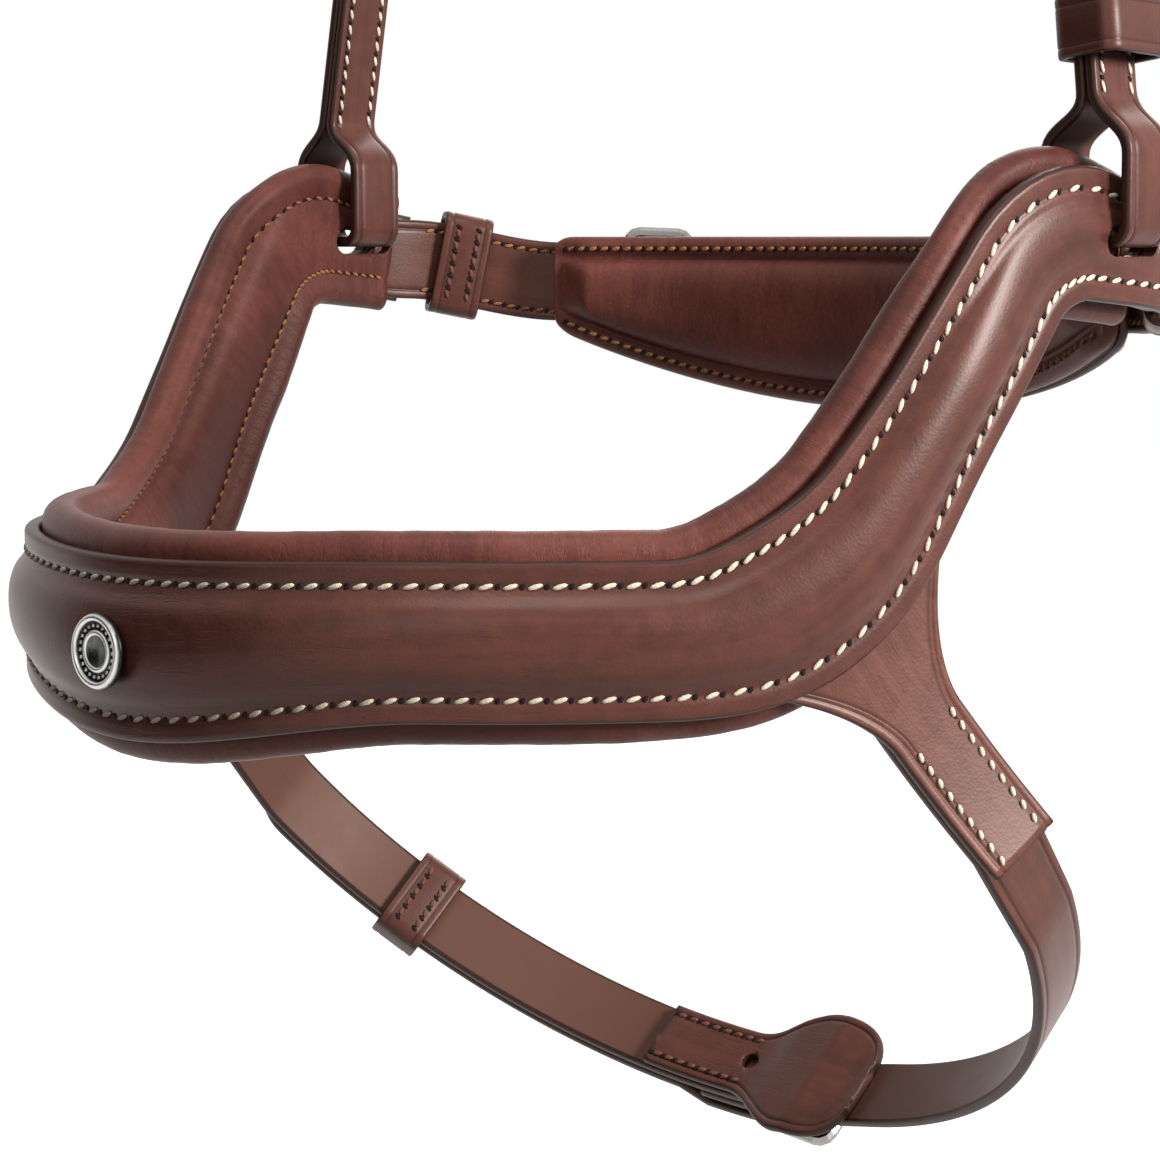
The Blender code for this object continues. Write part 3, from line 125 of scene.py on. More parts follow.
# The band, laid out flat
band = {
    "noseDrop": 66.7 * mm,
    "noseDip": 3.8 * mm,
    "dipReach": 59 * mm,
    "lowCorner": (123.9 * mm, -66.7 * mm),
    "lowRadius": 49.7 * mm,
    "peakCorner": (173.4 * mm, 3.6 * mm),
    "peakRadius": 20.5 * mm,
    "tail": (212.7 * mm, -3.9 * mm),
    "widths": [32.2 * mm, 27.3 * mm, 27.3 * mm, 30.5 * mm, 25.2 * mm, 24.6 * mm, 19.5 * mm],
    "thick": 3 * mm,
    "crown": 3.2 * mm,
    "peakCrown": 0.3,
    "crownBorder": 6.4 * mm,
    "domePower": 2.4,
    "domeSoft": 0.45,
    "domeEdge": 0.3,
    "edgeRound": 0.9 * mm,
    "stitchInset": 4.1 * mm,
    "stitchDip": 0.35 * mm,
    "stitchDipWidth": 0.6 * mm,
    "stitchPitch": 4.05 * mm,
    "seamEnd": 3 * mm,
    "seamLift": 0.12 * mm,
    "noseSteps": 60,
    "cornerSteps": 40,
    "meshSteps": 170,
}


def bandLine():
    nose, straight, corner = (0.0, -band["noseDrop"]), band["noseSteps"], band["cornerSteps"]
    low = cornerArc(nose, band["lowCorner"], band["peakCorner"], band["lowRadius"], corner)
    peak = cornerArc(band["lowCorner"], band["peakCorner"], band["tail"], band["peakRadius"], corner)
    start = [(low[0][0] * k / straight, -band["noseDrop"]) for k in range(straight)]
    line = np.array(start + low + peak + [band["tail"]])
    line[:, 1] -= band["noseDip"] * (1 - ease(line[:, 0] / band["dipReach"]))
    run = np.concatenate([[0], np.cumsum(np.linalg.norm(np.diff(line, axis=0), axis=1))])
    turns = [straight, straight + corner, straight + corner + 1, straight + 2 * corner + 1, -1]
    return line, run, [run[k] for k in turns]


bandPath, bandRun, (bendStart, bendEnd, peakStart, peakEnd, bandEnd) = bandLine()
cheekMiddle, peakMiddle = (bendEnd + peakStart) / 2, (peakStart + peakEnd) / 2
bandPlaces = [0, band["dipReach"], bendStart, (bendStart + bendEnd) / 2, cheekMiddle, peakMiddle, bandEnd]


def bandHalf(run):
    return easedTable(np.abs(run), bandPlaces, band["widths"]) / 2


def bandPoint(run, across, out):
    # a point by its run along the bent band from the nose, its place across it and its distance out
    run, across, out = np.broadcast_arrays(run, across, out)
    distance = np.abs(run)
    u, h = (np.interp(distance, bandRun, bandPath[:, k]) for k in (0, 1))
    ahead, behind = np.minimum(distance + 2 * mm, bandEnd), np.maximum(distance - 2 * mm, 0)
    (u1, h1), (u0, h0) = ([np.interp(at, bandRun, bandPath[:, k]) for k in (0, 1)] for at in (ahead, behind))
    du, dh = u1 - u0, h1 - h0
    size = np.hypot(du, dh)
    u, h = u - across * dh / size, h + across * du / size
    return ringPoint(np.where(run < 0, -u, u), h, out)


def crownAt(run):
    full = band["crown"]
    places = [0, cheekMiddle, peakMiddle, bandEnd]
    return easedTable(np.abs(run), places, [full, full, full * band["peakCrown"], 0])


def outerTop(run, across):
    half, crown = bandHalf(run), crownAt(run)
    shoulder = half - band["crownBorder"] + crown / 2
    share = np.clip(np.abs(across) / shoulder, 0, 1)
    soft = band["domeSoft"] + (1 - band["domeSoft"]) * ease((1 - share) / band["domeEdge"])
    rise = crown * (1 - share ** band["domePower"]) * soft
    aside = (half - np.abs(across) - band["stitchInset"]) / band["stitchDipWidth"]
    return band["thick"] + rise - band["stitchDip"] * np.exp(-(aside**2))


# Mesh helpers. The edge attribute tells the leather how far a point lies from the cut edge, with these
# values below zero for what lies behind it
edgeMark = {"cap": -0.2 * mm, "side": -0.15 * mm, "bandBack": -1 * mm, "flesh": -5 * mm}
mergeDistance = 0.001 * mm


def meshOf(name, shape):
    mesh = bpy.data.meshes.new(name)
    shape.to_mesh(mesh)
    shape.free()
    return mesh


def placed(name, data):
    made = bpy.data.objects.new(name, data)
    bpy.context.scene.collection.objects.link(made)
    return made


def addObject(name, shape, material, body):
    mesh = meshOf(name, shape)
    mesh.shade_smooth()
    for each in material if isinstance(material, list) else [material]:
        mesh.materials.append(each)
    made = placed(name, mesh)
    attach(made, body)
    return made


def addPiece(name, shape, material, body, slotName, *nodes):
    # a finished piece in the place of these nodes of the frame
    piece = addObject(name, shape, looks[material], body)
    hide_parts(*nodes)
    return piece


def columnTable(columns, runs, count=2):
    return (np.stack([np.broadcast_to(c[k], runs.shape) for c in columns], 1) for k in range(count))


def flatUv(runs, across):
    return np.stack([np.broadcast_to(runs[:, None], across.shape), across], -1)


def roundEdge(half, level, bevel):
    # the rounded corner of a section, from its face at this level down to its side
    turns = np.radians([60, 30, 0])
    return [(half - bevel + bevel * math.cos(a), level - bevel + bevel * math.sin(a)) for a in turns]


def gridMesh(points, uv, edge, loop=False):
    # a grid bent to a table of points, closed across its last column, and capped or closed along its rows
    points, uv, edge = (np.concatenate([t, t[:, :1]], 1) for t in (points, uv, edge))
    if loop:
        points, uv, edge = (np.concatenate([t, t[:1]], 0) for t in (points, uv, edge))
    rows, columns = edge.shape
    shape = bmesh.new()
    bmesh.ops.create_grid(shape, x_segments=columns - 1, y_segments=rows - 1, size=1)
    shape.verts.ensure_lookup_table()
    edgeLayer = shape.verts.layers.float.new("edge")
    uvLayer = shape.loops.layers.uv.new("UVMap")
    flatPoints, uvRows, flatEdge = points.reshape(-1, 3), uv.reshape(-1, 2), edge.reshape(-1)
    for vert, place, value in zip(shape.verts, flatPoints.tolist(), flatEdge.tolist()):
        vert.co = place
        vert[edgeLayer] = value
    for face in shape.faces:
        for corner in face.loops:
            corner[uvLayer].uv = uvRows[corner.vert.index]
    border = [vert for vert in shape.verts if vert.is_boundary]
    bmesh.ops.remove_doubles(shape, verts=border, dist=mergeDistance)
    if not loop:
        bmesh.ops.holes_fill(shape, edges=[e for e in shape.edges if e.is_boundary], sides=0)
        caps = [face for face in shape.faces if len(face.verts) > 4]
        for face in caps:
            for corner in face.loops:
                corner.vert[edgeLayer] = min(corner.vert[edgeLayer], edgeMark["cap"])
        bmesh.ops.triangulate(shape, faces=caps, ngon_method="EAR_CLIP")
    bmesh.ops.recalc_face_normals(shape, faces=shape.faces)
    return shape


def cutAway(piece, points, direction, depth):
    # cuts a prism, given by its outline in space, out of a piece
    shape = bmesh.new()
    ring = [shape.verts.new(Vector(p) - Vector(direction) * depth) for p in points]
    base = shape.faces.new(ring)
    grown = bmesh.ops.extrude_face_region(shape, geom=[base])
    moved = [g for g in grown["geom"] if isinstance(g, bmesh.types.BMVert)]
    bmesh.ops.translate(shape, verts=moved, vec=Vector(direction) * 2 * depth)
    bmesh.ops.recalc_face_normals(shape, faces=shape.faces)
    tool = placed("cutter", meshOf("cutter", shape))
    modifier = piece.modifiers.new("cut", "BOOLEAN")
    modifier.operation, modifier.solver, modifier.object = "DIFFERENCE", "EXACT", tool
    graph = bpy.context.evaluated_depsgraph_get()
    done = bpy.data.meshes.new_from_object(piece.evaluated_get(graph))
    piece.modifiers.remove(modifier)
    piece.data = done
    bpy.data.objects.remove(tool)


def stadium(length, height, steps=8):
    reach = (length - height) / 2
    ends = arcPoints((reach, 0), height / 2, -90, 90, steps)
    return ends + [(-a, -b) for a, b in ends]


# Shader maths: a wire is a socket that can be added, subtracted and multiplied
class Wire:
    def __init__(self, tree, socket):
        self.tree, self.socket = tree, socket

    def maths(self, operation, other, flip=False):
        node = self.tree.nodes.new("ShaderNodeMath")
        node.operation = operation
        for k, value in enumerate((other, self) if flip else (self, other)):
            connect(self.tree, node.inputs[k], value)
        return Wire(self.tree, node.outputs[0])

    def __add__(self, other):
        return self.maths("ADD", other)

    __radd__ = __add__

    def __sub__(self, other):
        return self.maths("SUBTRACT", other)

    def __rsub__(self, other):
        return self.maths("SUBTRACT", other, True)

    def __mul__(self, other):
        return self.maths("MULTIPLY", other)

    __rmul__ = __mul__


def connect(tree, entry, value):
    if isinstance(value, Wire):
        tree.links.new(value.socket, entry)
    else:
        entry.default_value = value


class Paint:
    def __init__(self, name):
        self.material = bpy.data.materials.new(name)
        self.material.use_nodes = True
        self.tree = self.material.node_tree
        self.shader = self.tree.nodes["Principled BSDF"]

    def node(self, kind, settings=None, inputs=None, output=0):
        made = self.tree.nodes.new(kind)
        for key, value in (settings or {}).items():
            setattr(made, key, value)
        for key, value in (inputs or {}).items():
            connect(self.tree, made.inputs[key], value)
        return Wire(self.tree, made.outputs[output])

    def mix(self, share, first, second):
        inputs = {0: share, 6: first, 7: second}
        return self.node("ShaderNodeMix", {"data_type": "RGBA"}, inputs, 2)

    def noise(self, place, scale, detail=2.0, rough=0.5):
        inputs = {"Vector": place, "Scale": scale, "Detail": detail, "Roughness": rough}
        return self.node("ShaderNodeTexNoise", None, inputs)

    def cells(self, place, scale, feature):
        inputs = {"Vector": place, "Scale": scale, "Randomness": 1.0}
        return self.node("ShaderNodeTexVoronoi", {"feature": feature}, inputs)

    def bump(self, height, distance, strength=0.6):
        inputs = {"Strength": strength, "Distance": distance, "Height": height}
        return self.node("ShaderNodeBump", None, inputs)

    def place(self):
        return self.node("ShaderNodeTexCoord", output=3)  # Object coordinates

    def flat(self):
        return self.node("ShaderNodeTexCoord", output=2)  # the piece's UV map

    def edge(self):
        return self.node("ShaderNodeAttribute", {"attribute_name": "edge"}, None, 2)

    def stretched(self, place, scale):
        return self.node("ShaderNodeVectorMath", {"operation": "MULTIPLY"}, {0: place, 1: scale})

    def span(self, value, low, high, first=0.0, second=1.0):
        inputs = {"Value": value, 1: low, 2: high, 3: first, 4: second}
        return self.node("ShaderNodeMapRange", {"interpolation_type": "SMOOTHSTEP"}, inputs)

    def dent(self, value, centre, width):
        # 1 at a value, falling to 0 a width away on both sides
        return self.span((value - centre).maths("ABSOLUTE", 0.0), 0.0, width, 1.0, 0.0)

    def set(self, **values):
        for key, value in values.items():
            connect(self.tree, self.shader.inputs[key.replace("_", " ")], value)


def rgb(r, g, b):
    # a screen colour, 0 to 255, as linear light
    light = [c / 255 / 12.92 if c < 10 else ((c / 255 + 0.055) / 1.055) ** 2.4 for c in (r, g, b)]
    return (*light, 1.0)


# Smooth bridle leather: even dye, fine pores, faint lines along the strap and a dark cut edge, with painted
# shade darkening the faint lines and the crease grooves
leatherLook = {
    "band": {
        "deep": rgb(70, 37, 31),
        "pale": rgb(102, 58, 49),
        "cut": rgb(44, 22, 18),
        "back": rgb(104, 70, 58),
        "rough": 0.34,
        "grain": 0.09 * mm,
        "crease": 0.0,
    },
    "strap": {
        "deep": rgb(70, 37, 30),
        "pale": rgb(98, 56, 46),
        "cut": rgb(40, 21, 17),
        "back": rgb(98, 65, 55),
        "rough": 0.38,
        "grain": 0.09 * mm,
        "crease": 2.0 * mm,
    },
    "gusset": {
        "deep": rgb(82, 46, 38),
        "pale": rgb(116, 72, 60),
        "cut": rgb(40, 21, 17),
        "back": rgb(104, 70, 58),
        "rough": 0.36,
        "grain": 0.1 * mm,
        "crease": 3.0 * mm,
    },
}
# Pattern scales are per metre
hide = {
    "cloud": 20,
    "mottle": 230,
    "grain": 1900,
    "pores": 1700.0,
    "streaks": (24, 360, 1),
    "lineWidth": 0.014,
    # how dark the faint lines are: painted shade in their grooves
    "lineShade": 0.3,
    "cutDye": 0.85,
    # how dark the crease grooves are: painted shade
    "creaseShade": 0.6,
    "creaseWidth": 0.45 * mm,
    "shine": 0.2,
    "coat": 0.22,
    "coatRough": 0.32,
    "sheen": (1.0, 0.82, 0.72, 1.0),
}


def leather(name, look):
    paint = Paint(name)
    place, flat = paint.place(), paint.flat()
    edge = paint.edge()
    cloud = paint.noise(place, hide["cloud"], 3, 0.5)
    mottle = paint.noise(place, hide["mottle"], 4, 0.6)
    grain = paint.noise(place, hide["grain"], 2, 0.6)
    pores = paint.cells(place, hide["pores"], "F1")
    streaks = paint.noise(paint.stretched(flat, hide["streaks"]), 1, 3, 0.55)
    line = paint.dent(streaks, 0.5, hide["lineWidth"]) * paint.span(cloud, 0.48, 0.62)
    tone = paint.span(cloud * 0.4 + mottle * 0.3 + streaks * 0.3, 0.34, 0.66)
    colour = paint.mix(tone, look["deep"], look["pale"])
    # the faint lines are darkened towards the cut colour, painted shade in their grooves
    colour = paint.mix(line * hide["lineShade"], colour, look["cut"])
    behind = paint.span(edge, -1.4 * mm, -0.8 * mm, 1.0, 0.0)  # the flesh side, marked far below zero
    colour = paint.mix(behind, colour, look["back"])
    cut = paint.span(edge, -0.12 * mm, 0.2 * mm, 1.0, 0.0) * (1 - behind)
    colour = paint.mix(cut * hide["cutDye"], colour, look["cut"])
    height = grain * 0.5 + pores * 0.5 + mottle * 0.4 - line * 0.9
    # a crease groove, sunk in the bump and darkened towards the cut colour as painted shade
    if look["crease"]:
        groove = paint.dent(edge, look["crease"], hide["creaseWidth"])
        colour = paint.mix(groove * hide["creaseShade"], colour, look["cut"])
        height = height - groove * 2.0
    height = height * (1 - behind * 0.65)
    rough = look["rough"] + mottle * 0.1 + cut * 0.1 + behind * 0.03
    paint.set(Base_Color=colour, Roughness=rough, Normal=paint.bump(height, look["grain"]))
    sheen = hide["sheen"]
    paint.set(Coat_Weight=hide["coat"] * (1 - behind), Coat_Roughness=hide["coatRough"], Coat_Tint=sheen)
    paint.set(Specular_IOR_Level=hide["shine"], Specular_Tint=sheen)
    return paint.material


# Soft lining leather: fine grain, a dull shine and small wrinkles across its rolls
liningLook = {
    "deep": rgb(76, 36, 31),
    "pale": rgb(116, 64, 55),
    "rough": 0.42,
    "shine": 0.26,
    "cloud": 26,
    "pebbles": 1300.0,
    "wrinkles": (330, 90, 1),
    "depth": 0.14 * mm,
}


def softLeather(name, look):
    paint = Paint(name)
    place, flat = paint.place(), paint.flat()
    cloud = paint.noise(place, look["cloud"], 3, 0.5)
    pebble = paint.cells(place, look["pebbles"], "SMOOTH_F1")
    wrinkle = paint.noise(paint.stretched(flat, look["wrinkles"]), 1, 4, 0.6)
    fold = paint.dent(wrinkle, 0.5, 0.02)
    tone = paint.span(cloud * 0.7 + wrinkle * 0.3, 0.36, 0.64)
    colour = paint.mix(tone, look["deep"], look["pale"])
    colour = paint.mix(paint.span(pebble, 0.3, 0.7, 0.0, 0.25), colour, look["deep"])
    bump = paint.bump(wrinkle * 0.9 - pebble * 0.5 - fold * 0.35, look["depth"])
    paint.set(Base_Color=colour, Roughness=look["rough"] + wrinkle * 0.12, Normal=bump)
    paint.set(Specular_IOR_Level=look["shine"], Specular_Tint=hide["sheen"])
    return paint.material


def metal(name, bright, dark, rough):
    # the tone runs from 0 in the hollows to 1 on what stands proud
    paint = Paint(name)
    place = paint.place()
    cloud = paint.noise(place, 420, 4, 0.6)
    scratch = paint.noise(place, 2600, 2, 0.5)
    worn = paint.span(paint.edge() + cloud * 0.5, 0.35, 1.15)
    bump = paint.bump(cloud + scratch * 0.4, 0.05 * mm, 0.3)
    paint.set(Base_Color=paint.mix(worn, dark, bright), Roughness=rough + scratch * 0.15, Normal=bump)
    paint.set(Metallic=1.0)
    return paint.material


def thread(name, colour, shade):
    paint = Paint(name)
    place = paint.place()
    fibre = paint.noise(place, 3200, 2, 0.6)
    colour = paint.mix(paint.span(fibre, 0.35, 0.6), shade, colour)
    paint.set(Base_Color=colour, Roughness=0.62 + fibre * 0.1, Normal=paint.bump(fibre, 0.08 * mm))
    paint.set(Specular_IOR_Level=0.15)
    return paint.material


looks = {
    "band": leather("band leather", leatherLook["band"]),
    "strap": leather("strap leather", leatherLook["strap"]),
    "gusset": leather("gusset leather", leatherLook["gusset"]),
    "lining": softLeather("lining leather", liningLook),
    "badge": metal("antique silver", rgb(206, 204, 200), rgb(38, 38, 40), 0.26),
    "steel": metal("buckle steel", rgb(206, 204, 200), rgb(150, 148, 145), 0.22),
    "thread": thread("waxed thread", rgb(244, 234, 214), rgb(212, 194, 164)),
    "tan": thread("tan thread", rgb(178, 124, 80), rgb(122, 78, 50)),
    "brown": thread("brown thread", rgb(128, 86, 70), rgb(88, 54, 44)),
    # near black for the stitch holes, painted shade on flat marks
    "hole": thread("painted stitch hole shade", rgb(26, 13, 11), rgb(15, 8, 7)),
}
print("materials made")


# Stitches: rice-shaped threads lying aslant, with a flat dark mark for each stitch hole that is painted shade
stitch = {
    "length": 0.7,
    "width": 0.95 * mm,
    "height": 0.7 * mm,
    "lift": 0.1 * mm,
    "slant": 17,
    "hole": 1.6 * mm,
    "holeWide": 0.95 * mm,
    "holeDeep": 0.14 * mm,
}


def ball(columns, rows):
    shape = bmesh.new()
    bmesh.ops.create_uvsphere(shape, u_segments=columns, v_segments=rows, radius=1)
    parts = [v.co.copy() for v in shape.verts], [[v.index for v in face.verts] for face in shape.faces]
    shape.free()
    return parts


stitchBall, holeShadeBall = ball(8, 6), ball(8, 4)


def addBall(shape, parts, place, turn, lengths, mark):
    matrix = Matrix.Translation(place) @ Matrix(turn).transposed().to_4x4()
    matrix = matrix @ Matrix.Diagonal([each / 2 for each in lengths] + [1])
    verts = [shape.verts.new(matrix @ corner) for corner in parts[0]]
    for corners in parts[1]:
        shape.faces.new([verts[k] for k in corners]).material_index = mark


def seam(name, body, places, along, outward, pitch, slant=1, scale=1.0, yarn="thread"):
    # places, along and outward are tables with one row for each stitch
    shape = bmesh.new()
    for place, direction, normal in zip(places, along, outward):
        place, direction, normal = Vector(place), Vector(direction), Vector(normal).normalized()
        direction = (direction - normal * direction.dot(normal)).normalized()
        turn = math.radians(stitch["slant"]) * slant
        first = direction * math.cos(turn) + normal.cross(direction) * math.sin(turn)
        second = normal.cross(first)
        size = (pitch * stitch["length"], stitch["width"] * scale, stitch["height"] * scale)
        addBall(shape, stitchBall, place + normal * stitch["lift"], (first, second, normal), size, 0)
        # a flat dark mark for the stitch hole, painted shade
        aslant = (second + first) * 0.7, (second - first) * 0.7, normal
        size = (stitch["hole"] * scale, stitch["holeWide"] * scale, stitch["holeDeep"] * 2)
        addBall(shape, holeShadeBall, place + direction * pitch / 2, aslant, size, 1)
    bmesh.ops.recalc_face_normals(shape, faces=shape.faces)
    return addObject(name, shape, [looks[yarn], looks["hole"]], body)


def surfaceSeam(name, body, surface, start, end, pitch, **more):
    # surface(run, lift) gives points of a line on a surface, raised off it by a lift
    count = max(1, round(abs(end - start) / pitch))
    runs = start + (end - start) * (np.arange(count) + 0.5) / count
    places = surface(runs, 0.0)
    along = surface(runs + 0.5 * mm, 0.0) - surface(runs - 0.5 * mm, 0.0)
    seam(name, body, places, along, surface(runs, 1 * mm) - places, abs(end - start) / count, **more)


# Outer leather of the band. The steps lie close together at the sewn border
outerSteps = [0.9, 1.3, 1.9, 2.6, 3.2, 3.7, 4.0, 4.3, 4.6, 4.9, 5.4, 6.0]
crownShares = [0.94, 0.86, 0.76, 0.64, 0.5, 0.34, 0.17]
tipDepth = 0.4 * mm


def buildOuter():
    end, bevel, thick = bandEnd, band["edgeRound"], band["thick"]
    spread = np.linspace(-end, end, band["meshSteps"])
    runs = np.unique(np.concatenate([spread, [tipDepth - end, end - tipDepth]]))
    half, crown = bandHalf(runs), crownAt(runs)
    left = [half - d * mm for d in outerSteps] + [(half - outerSteps[-1] * mm) * s for s in crownShares]
    front = np.stack(left + [half * 0] + [-v for v in reversed(left)], 1)
    top = outerTop(runs[:, None], front)
    edge = half[:, None] - np.abs(front)
    high = roundEdge(half, thick, bevel)
    low = [(v, thick - o) for v, o in reversed(high)]
    inner, hollow = half - band["crownBorder"], crown * 0.85
    back = [(bevel - half, 0), (-inner, 0), (-inner * 0.6, hollow), (half * 0, crown)]
    back += [(inner * 0.6, hollow), (inner, 0), (half - bevel, 0)]
    order = [(front[:, k], top[:, k], edge[:, k]) for k in range(front.shape[1])]
    order += [(-v, o, edgeMark["cap"]) for v, o in high + low]
    order += [(v, o, edgeMark["bandBack"]) for v, o in back]
    order += [(v, o, edgeMark["cap"]) for v, o in reversed(high + low)]
    across, out, rim = columnTable(order, runs, 3)
    tip = np.where(np.abs(runs) > end - tipDepth / 4, tipDepth, 0.0)[:, None]
    out = np.clip(out, tip, thick + 9 * mm - tip)
    shape = gridMesh(bandPoint(runs[:, None], across, out), flatUv(runs, across), rim)
    return addPiece("nosebandOuter", shape, "band", "noseband", "outer_leather", "noseband_outer")


slot = {"length": 16 * mm, "height": 5.3 * mm, "cutDepth": 22 * mm}


def cutSlots(piece):
    x = float(ringPoint(head["slotRun"], 0, 0)[0])
    shape = stadium(slot["length"], slot["height"])
    for side in (1, -1):
        outline = [(side * x, head["slotY"] + a, b - head["drop"]) for a, b in shape]
        cutAway(piece, outline, (1, 0, 0), slot["cutDepth"])


outerPiece = buildOuter()
cutSlots(outerPiece)


def bandSeams():
    reach = bandEnd - band["seamEnd"]
    for name, sign in (("seamBandTop", 1), ("seamBandLow", -1)):
        def surface(runs, lift, sign=sign):
            across = sign * (bandHalf(runs) - band["stitchInset"])
            return bandPoint(runs, across, outerTop(runs, across) + band["seamLift"] + lift)

        surfaceSeam(name, "noseband", surface, -reach, reach, band["stitchPitch"])


bandSeams()
print("band made")

# Padded lining, a roll above and below and a crowned middle
lining = {
    "gap": 0.3 * mm,
    "topRadius": 4.0 * mm,
    "topRise": 0.7 * mm,
    "topTurn": 195,
    "lowRadius": 3.8 * mm,
    "lowRise": 0.5 * mm,
    "lowTurn": 190,
    "wrinkle": 0.009,
    "depth": 8.7 * mm,
    "domePower": 3.2,
    "domeShare": 0.8,
    "groove": 5.2 * mm,
    "grooveInset": 4.2 * mm,
    "grooveHalf": 0.5 * mm,
    "grooveBank": 1.2 * mm,
    "hem": 3.4 * mm,
    "hollow": 2.9 * mm,
    "pocket": 2.7 * mm,
    "peakDepth": 0.96,
    "peakRoll": 0.74,
    "sewn": 5.1 * mm,
    "endShare": 0.965,
    "stitchPitch": 2.5 * mm,
    "seamEnd": 2 * mm,
    "meshSteps": 330,
    "seamLift": 0.1 * mm,
    "seamShift": 0.3 * mm,
}
domeShares = [1, 0.93, 0.84, 0.7, 0.5, 0.25, 0, -0.25, -0.5, -0.7, -0.84, -0.93, -1]
topGroove, lowGroove = 17, 18 + len(domeShares)  # the grooves' columns in the section
wrinkleWaves = (23.0, 11.3, 6.7, 4.1)  # lengths in millimetres


def wrinkles(runs, turn, seed):
    # small wrinkles across a roll, from a few waves of unlike length
    total = 0
    for k, length in enumerate(wrinkleWaves):
        phase = turn * (1.5 + k) + seed * (k + 2)
        total = total + np.sin(runs / (length * mm) * 2 * np.pi + phase) * (0.9 - 0.15 * k)
    return total


def rollColumns(runs, centre, radius, side, turns, seed, shift):
    columns = []
    for turn in np.radians(turns):
        swell = radius * lining["wrinkle"] * max(0.0, math.sin(turn))
        size = radius + wrinkles(runs, turn + shift, seed) * swell
        columns.append((centre[0] + side * size * math.sin(turn), centre[1] + size * math.cos(turn)))
    return columns


def liningColumns(runs):
    # the section from the top hem over the upper roll, the dome and the lower roll to the low hem
    half, gap = bandHalf(runs), lining["gap"]
    places = [0, cheekMiddle, peakMiddle]
    share = easedTable(np.abs(runs), places, [1, 1, lining["peakRoll"]])
    deep = lining["depth"] * easedTable(np.abs(runs), places, [1, 1, lining["peakDepth"]])
    low = lining["pocket"] * ease((np.abs(runs) - bendStart + 6 * mm) / (12 * mm))
    top = lining["pocket"] * ease((np.abs(runs) - peakStart) / (peakEnd - peakStart) * 2)
    topDip, lowDip = (np.maximum(lining["groove"], pocket + lining["sewn"]) for pocket in (top, low))
    topRadius, lowRadius = lining["topRadius"] * share, lining["lowRadius"] * share
    centre = (half + lining["topRise"] * share, -gap - top - topRadius)
    upper = rollColumns(runs, centre, topRadius, 1, np.linspace(0, lining["topTurn"], 15), 3, 0)
    centre = (-half - lining["lowRise"] * share, -gap - low - lowRadius)
    lower = rollColumns(runs, centre, lowRadius, -1, np.linspace(lining["lowTurn"], 0, 14), 5, 3)
    valley, side, bank = half - lining["grooveInset"], lining["grooveHalf"], lining["grooveBank"]
    columns = [(half - lining["hem"], -gap - top)] + upper
    columns.append((valley + bank, (upper[-1][1] + topDip) * 0.3 - topDip))
    columns.append((valley + side, -topDip))
    for s in domeShares:
        dome = (1 - abs(s) ** lining["domePower"]) ** lining["domeShare"]
        dip = topDip if s >= 0 else lowDip
        columns.append((valley * s, -dip - (deep - dip) * dome))
    columns.append((-valley - side, -lowDip))
    columns.append((-valley - bank, (lower[0][1] + lowDip) * 0.3 - lowDip))
    columns += lower + [(-half + lining["hem"], -gap - low)]
    return columns + [(half * s, -gap - lining["hollow"] - low) for s in (-0.5, 0, 0.5)]


def buildLining():
    end = bandEnd * lining["endShare"]
    runs = np.linspace(-end, end, lining["meshSteps"])
    across, out = columnTable(liningColumns(runs), runs)
    shape = gridMesh(bandPoint(runs[:, None], across, out), flatUv(runs, across), across * 0)
    nodes = ("noseband_lining", "noseband_foam")
    piece = addPiece("nosebandLining", shape, "lining", "noseband", "lining_leather", *nodes)
    return piece


liningPiece = buildLining()
cutSlots(liningPiece)


def liningSeams():
    # a row in each groove of the horse's side
    reach, pitch = bandEnd * lining["endShare"] - lining["seamEnd"], lining["stitchPitch"]
    for name, sign, column in (("seamLiningTop", 1, topGroove), ("seamLiningLow", -1, lowGroove)):
        def surface(runs, lift, sign=sign, column=column):
            across, out = liningColumns(runs)[column]
            return bandPoint(runs, across - sign * lining["seamShift"], out - lining["seamLift"] - lift)

        surfaceSeam(name, "noseband", surface, -reach, reach, pitch, slant=-1, scale=0.75, yarn="tan")


liningSeams()
print("lining made")


# Straps: a centre line in the strap's own plane, swept with a rounded section


def smoothLine(places, step):
    points = []
    for (a0, b0), (a1, b1) in zip(places, places[1:]):
        count = max(2, round(abs(a1 - a0) / step))
        for k in range(count):
            points.append((a0 + (a1 - a0) * k / count, b0 + (b1 - b0) * float(ease(k / count))))
    return points + [places[-1]]


def lineNormals(line):
    steps = np.diff(line, axis=0)
    normals = np.stack([-steps[:, 1], steps[:, 0]], 1)
    normals /= np.linalg.norm(normals, axis=1)[:, None]
    both = np.vstack([normals[:1], normals]) + np.vstack([normals, normals[-1:]])
    return both / np.linalg.norm(both, axis=1)[:, None]


tip = {"length": 9 * mm, "share": 0.28}
tipSteps = (1, 0.8, 0.6, 0.42, 0.28, 0.16, 0.08, 0.03, 0)


def tipShare(left):
    swell = np.sqrt(np.clip(1 - (1 - np.clip(left / tip["length"], 0, 1)) ** 2, 0, 1))
    return tip["share"] + (1 - tip["share"]) * swell


def tipped(line):
    last, before = np.array(line[-1]), np.array(line[-2])
    direction = (last - before) / np.linalg.norm(last - before)
    kept = [p for p in line if np.linalg.norm(np.array(p) - last) >= tip["length"]]
    return kept + [tuple(last - direction * tip["length"] * s) for s in tipSteps]


# The section of a strap, from its edge to the crease line and beyond
strapLook = {
    "round": 0.75 * mm,
    "crease": 2 * mm,
    "creaseDepth": 0.22 * mm,
    "creaseWidth": 0.35 * mm,
    "narrow": 3.3 * mm,
    "step": 2.6 * mm,
}
strapSteps = [1.1, 1.5, 1.8, 2.0, 2.2, 2.5, 3.1]


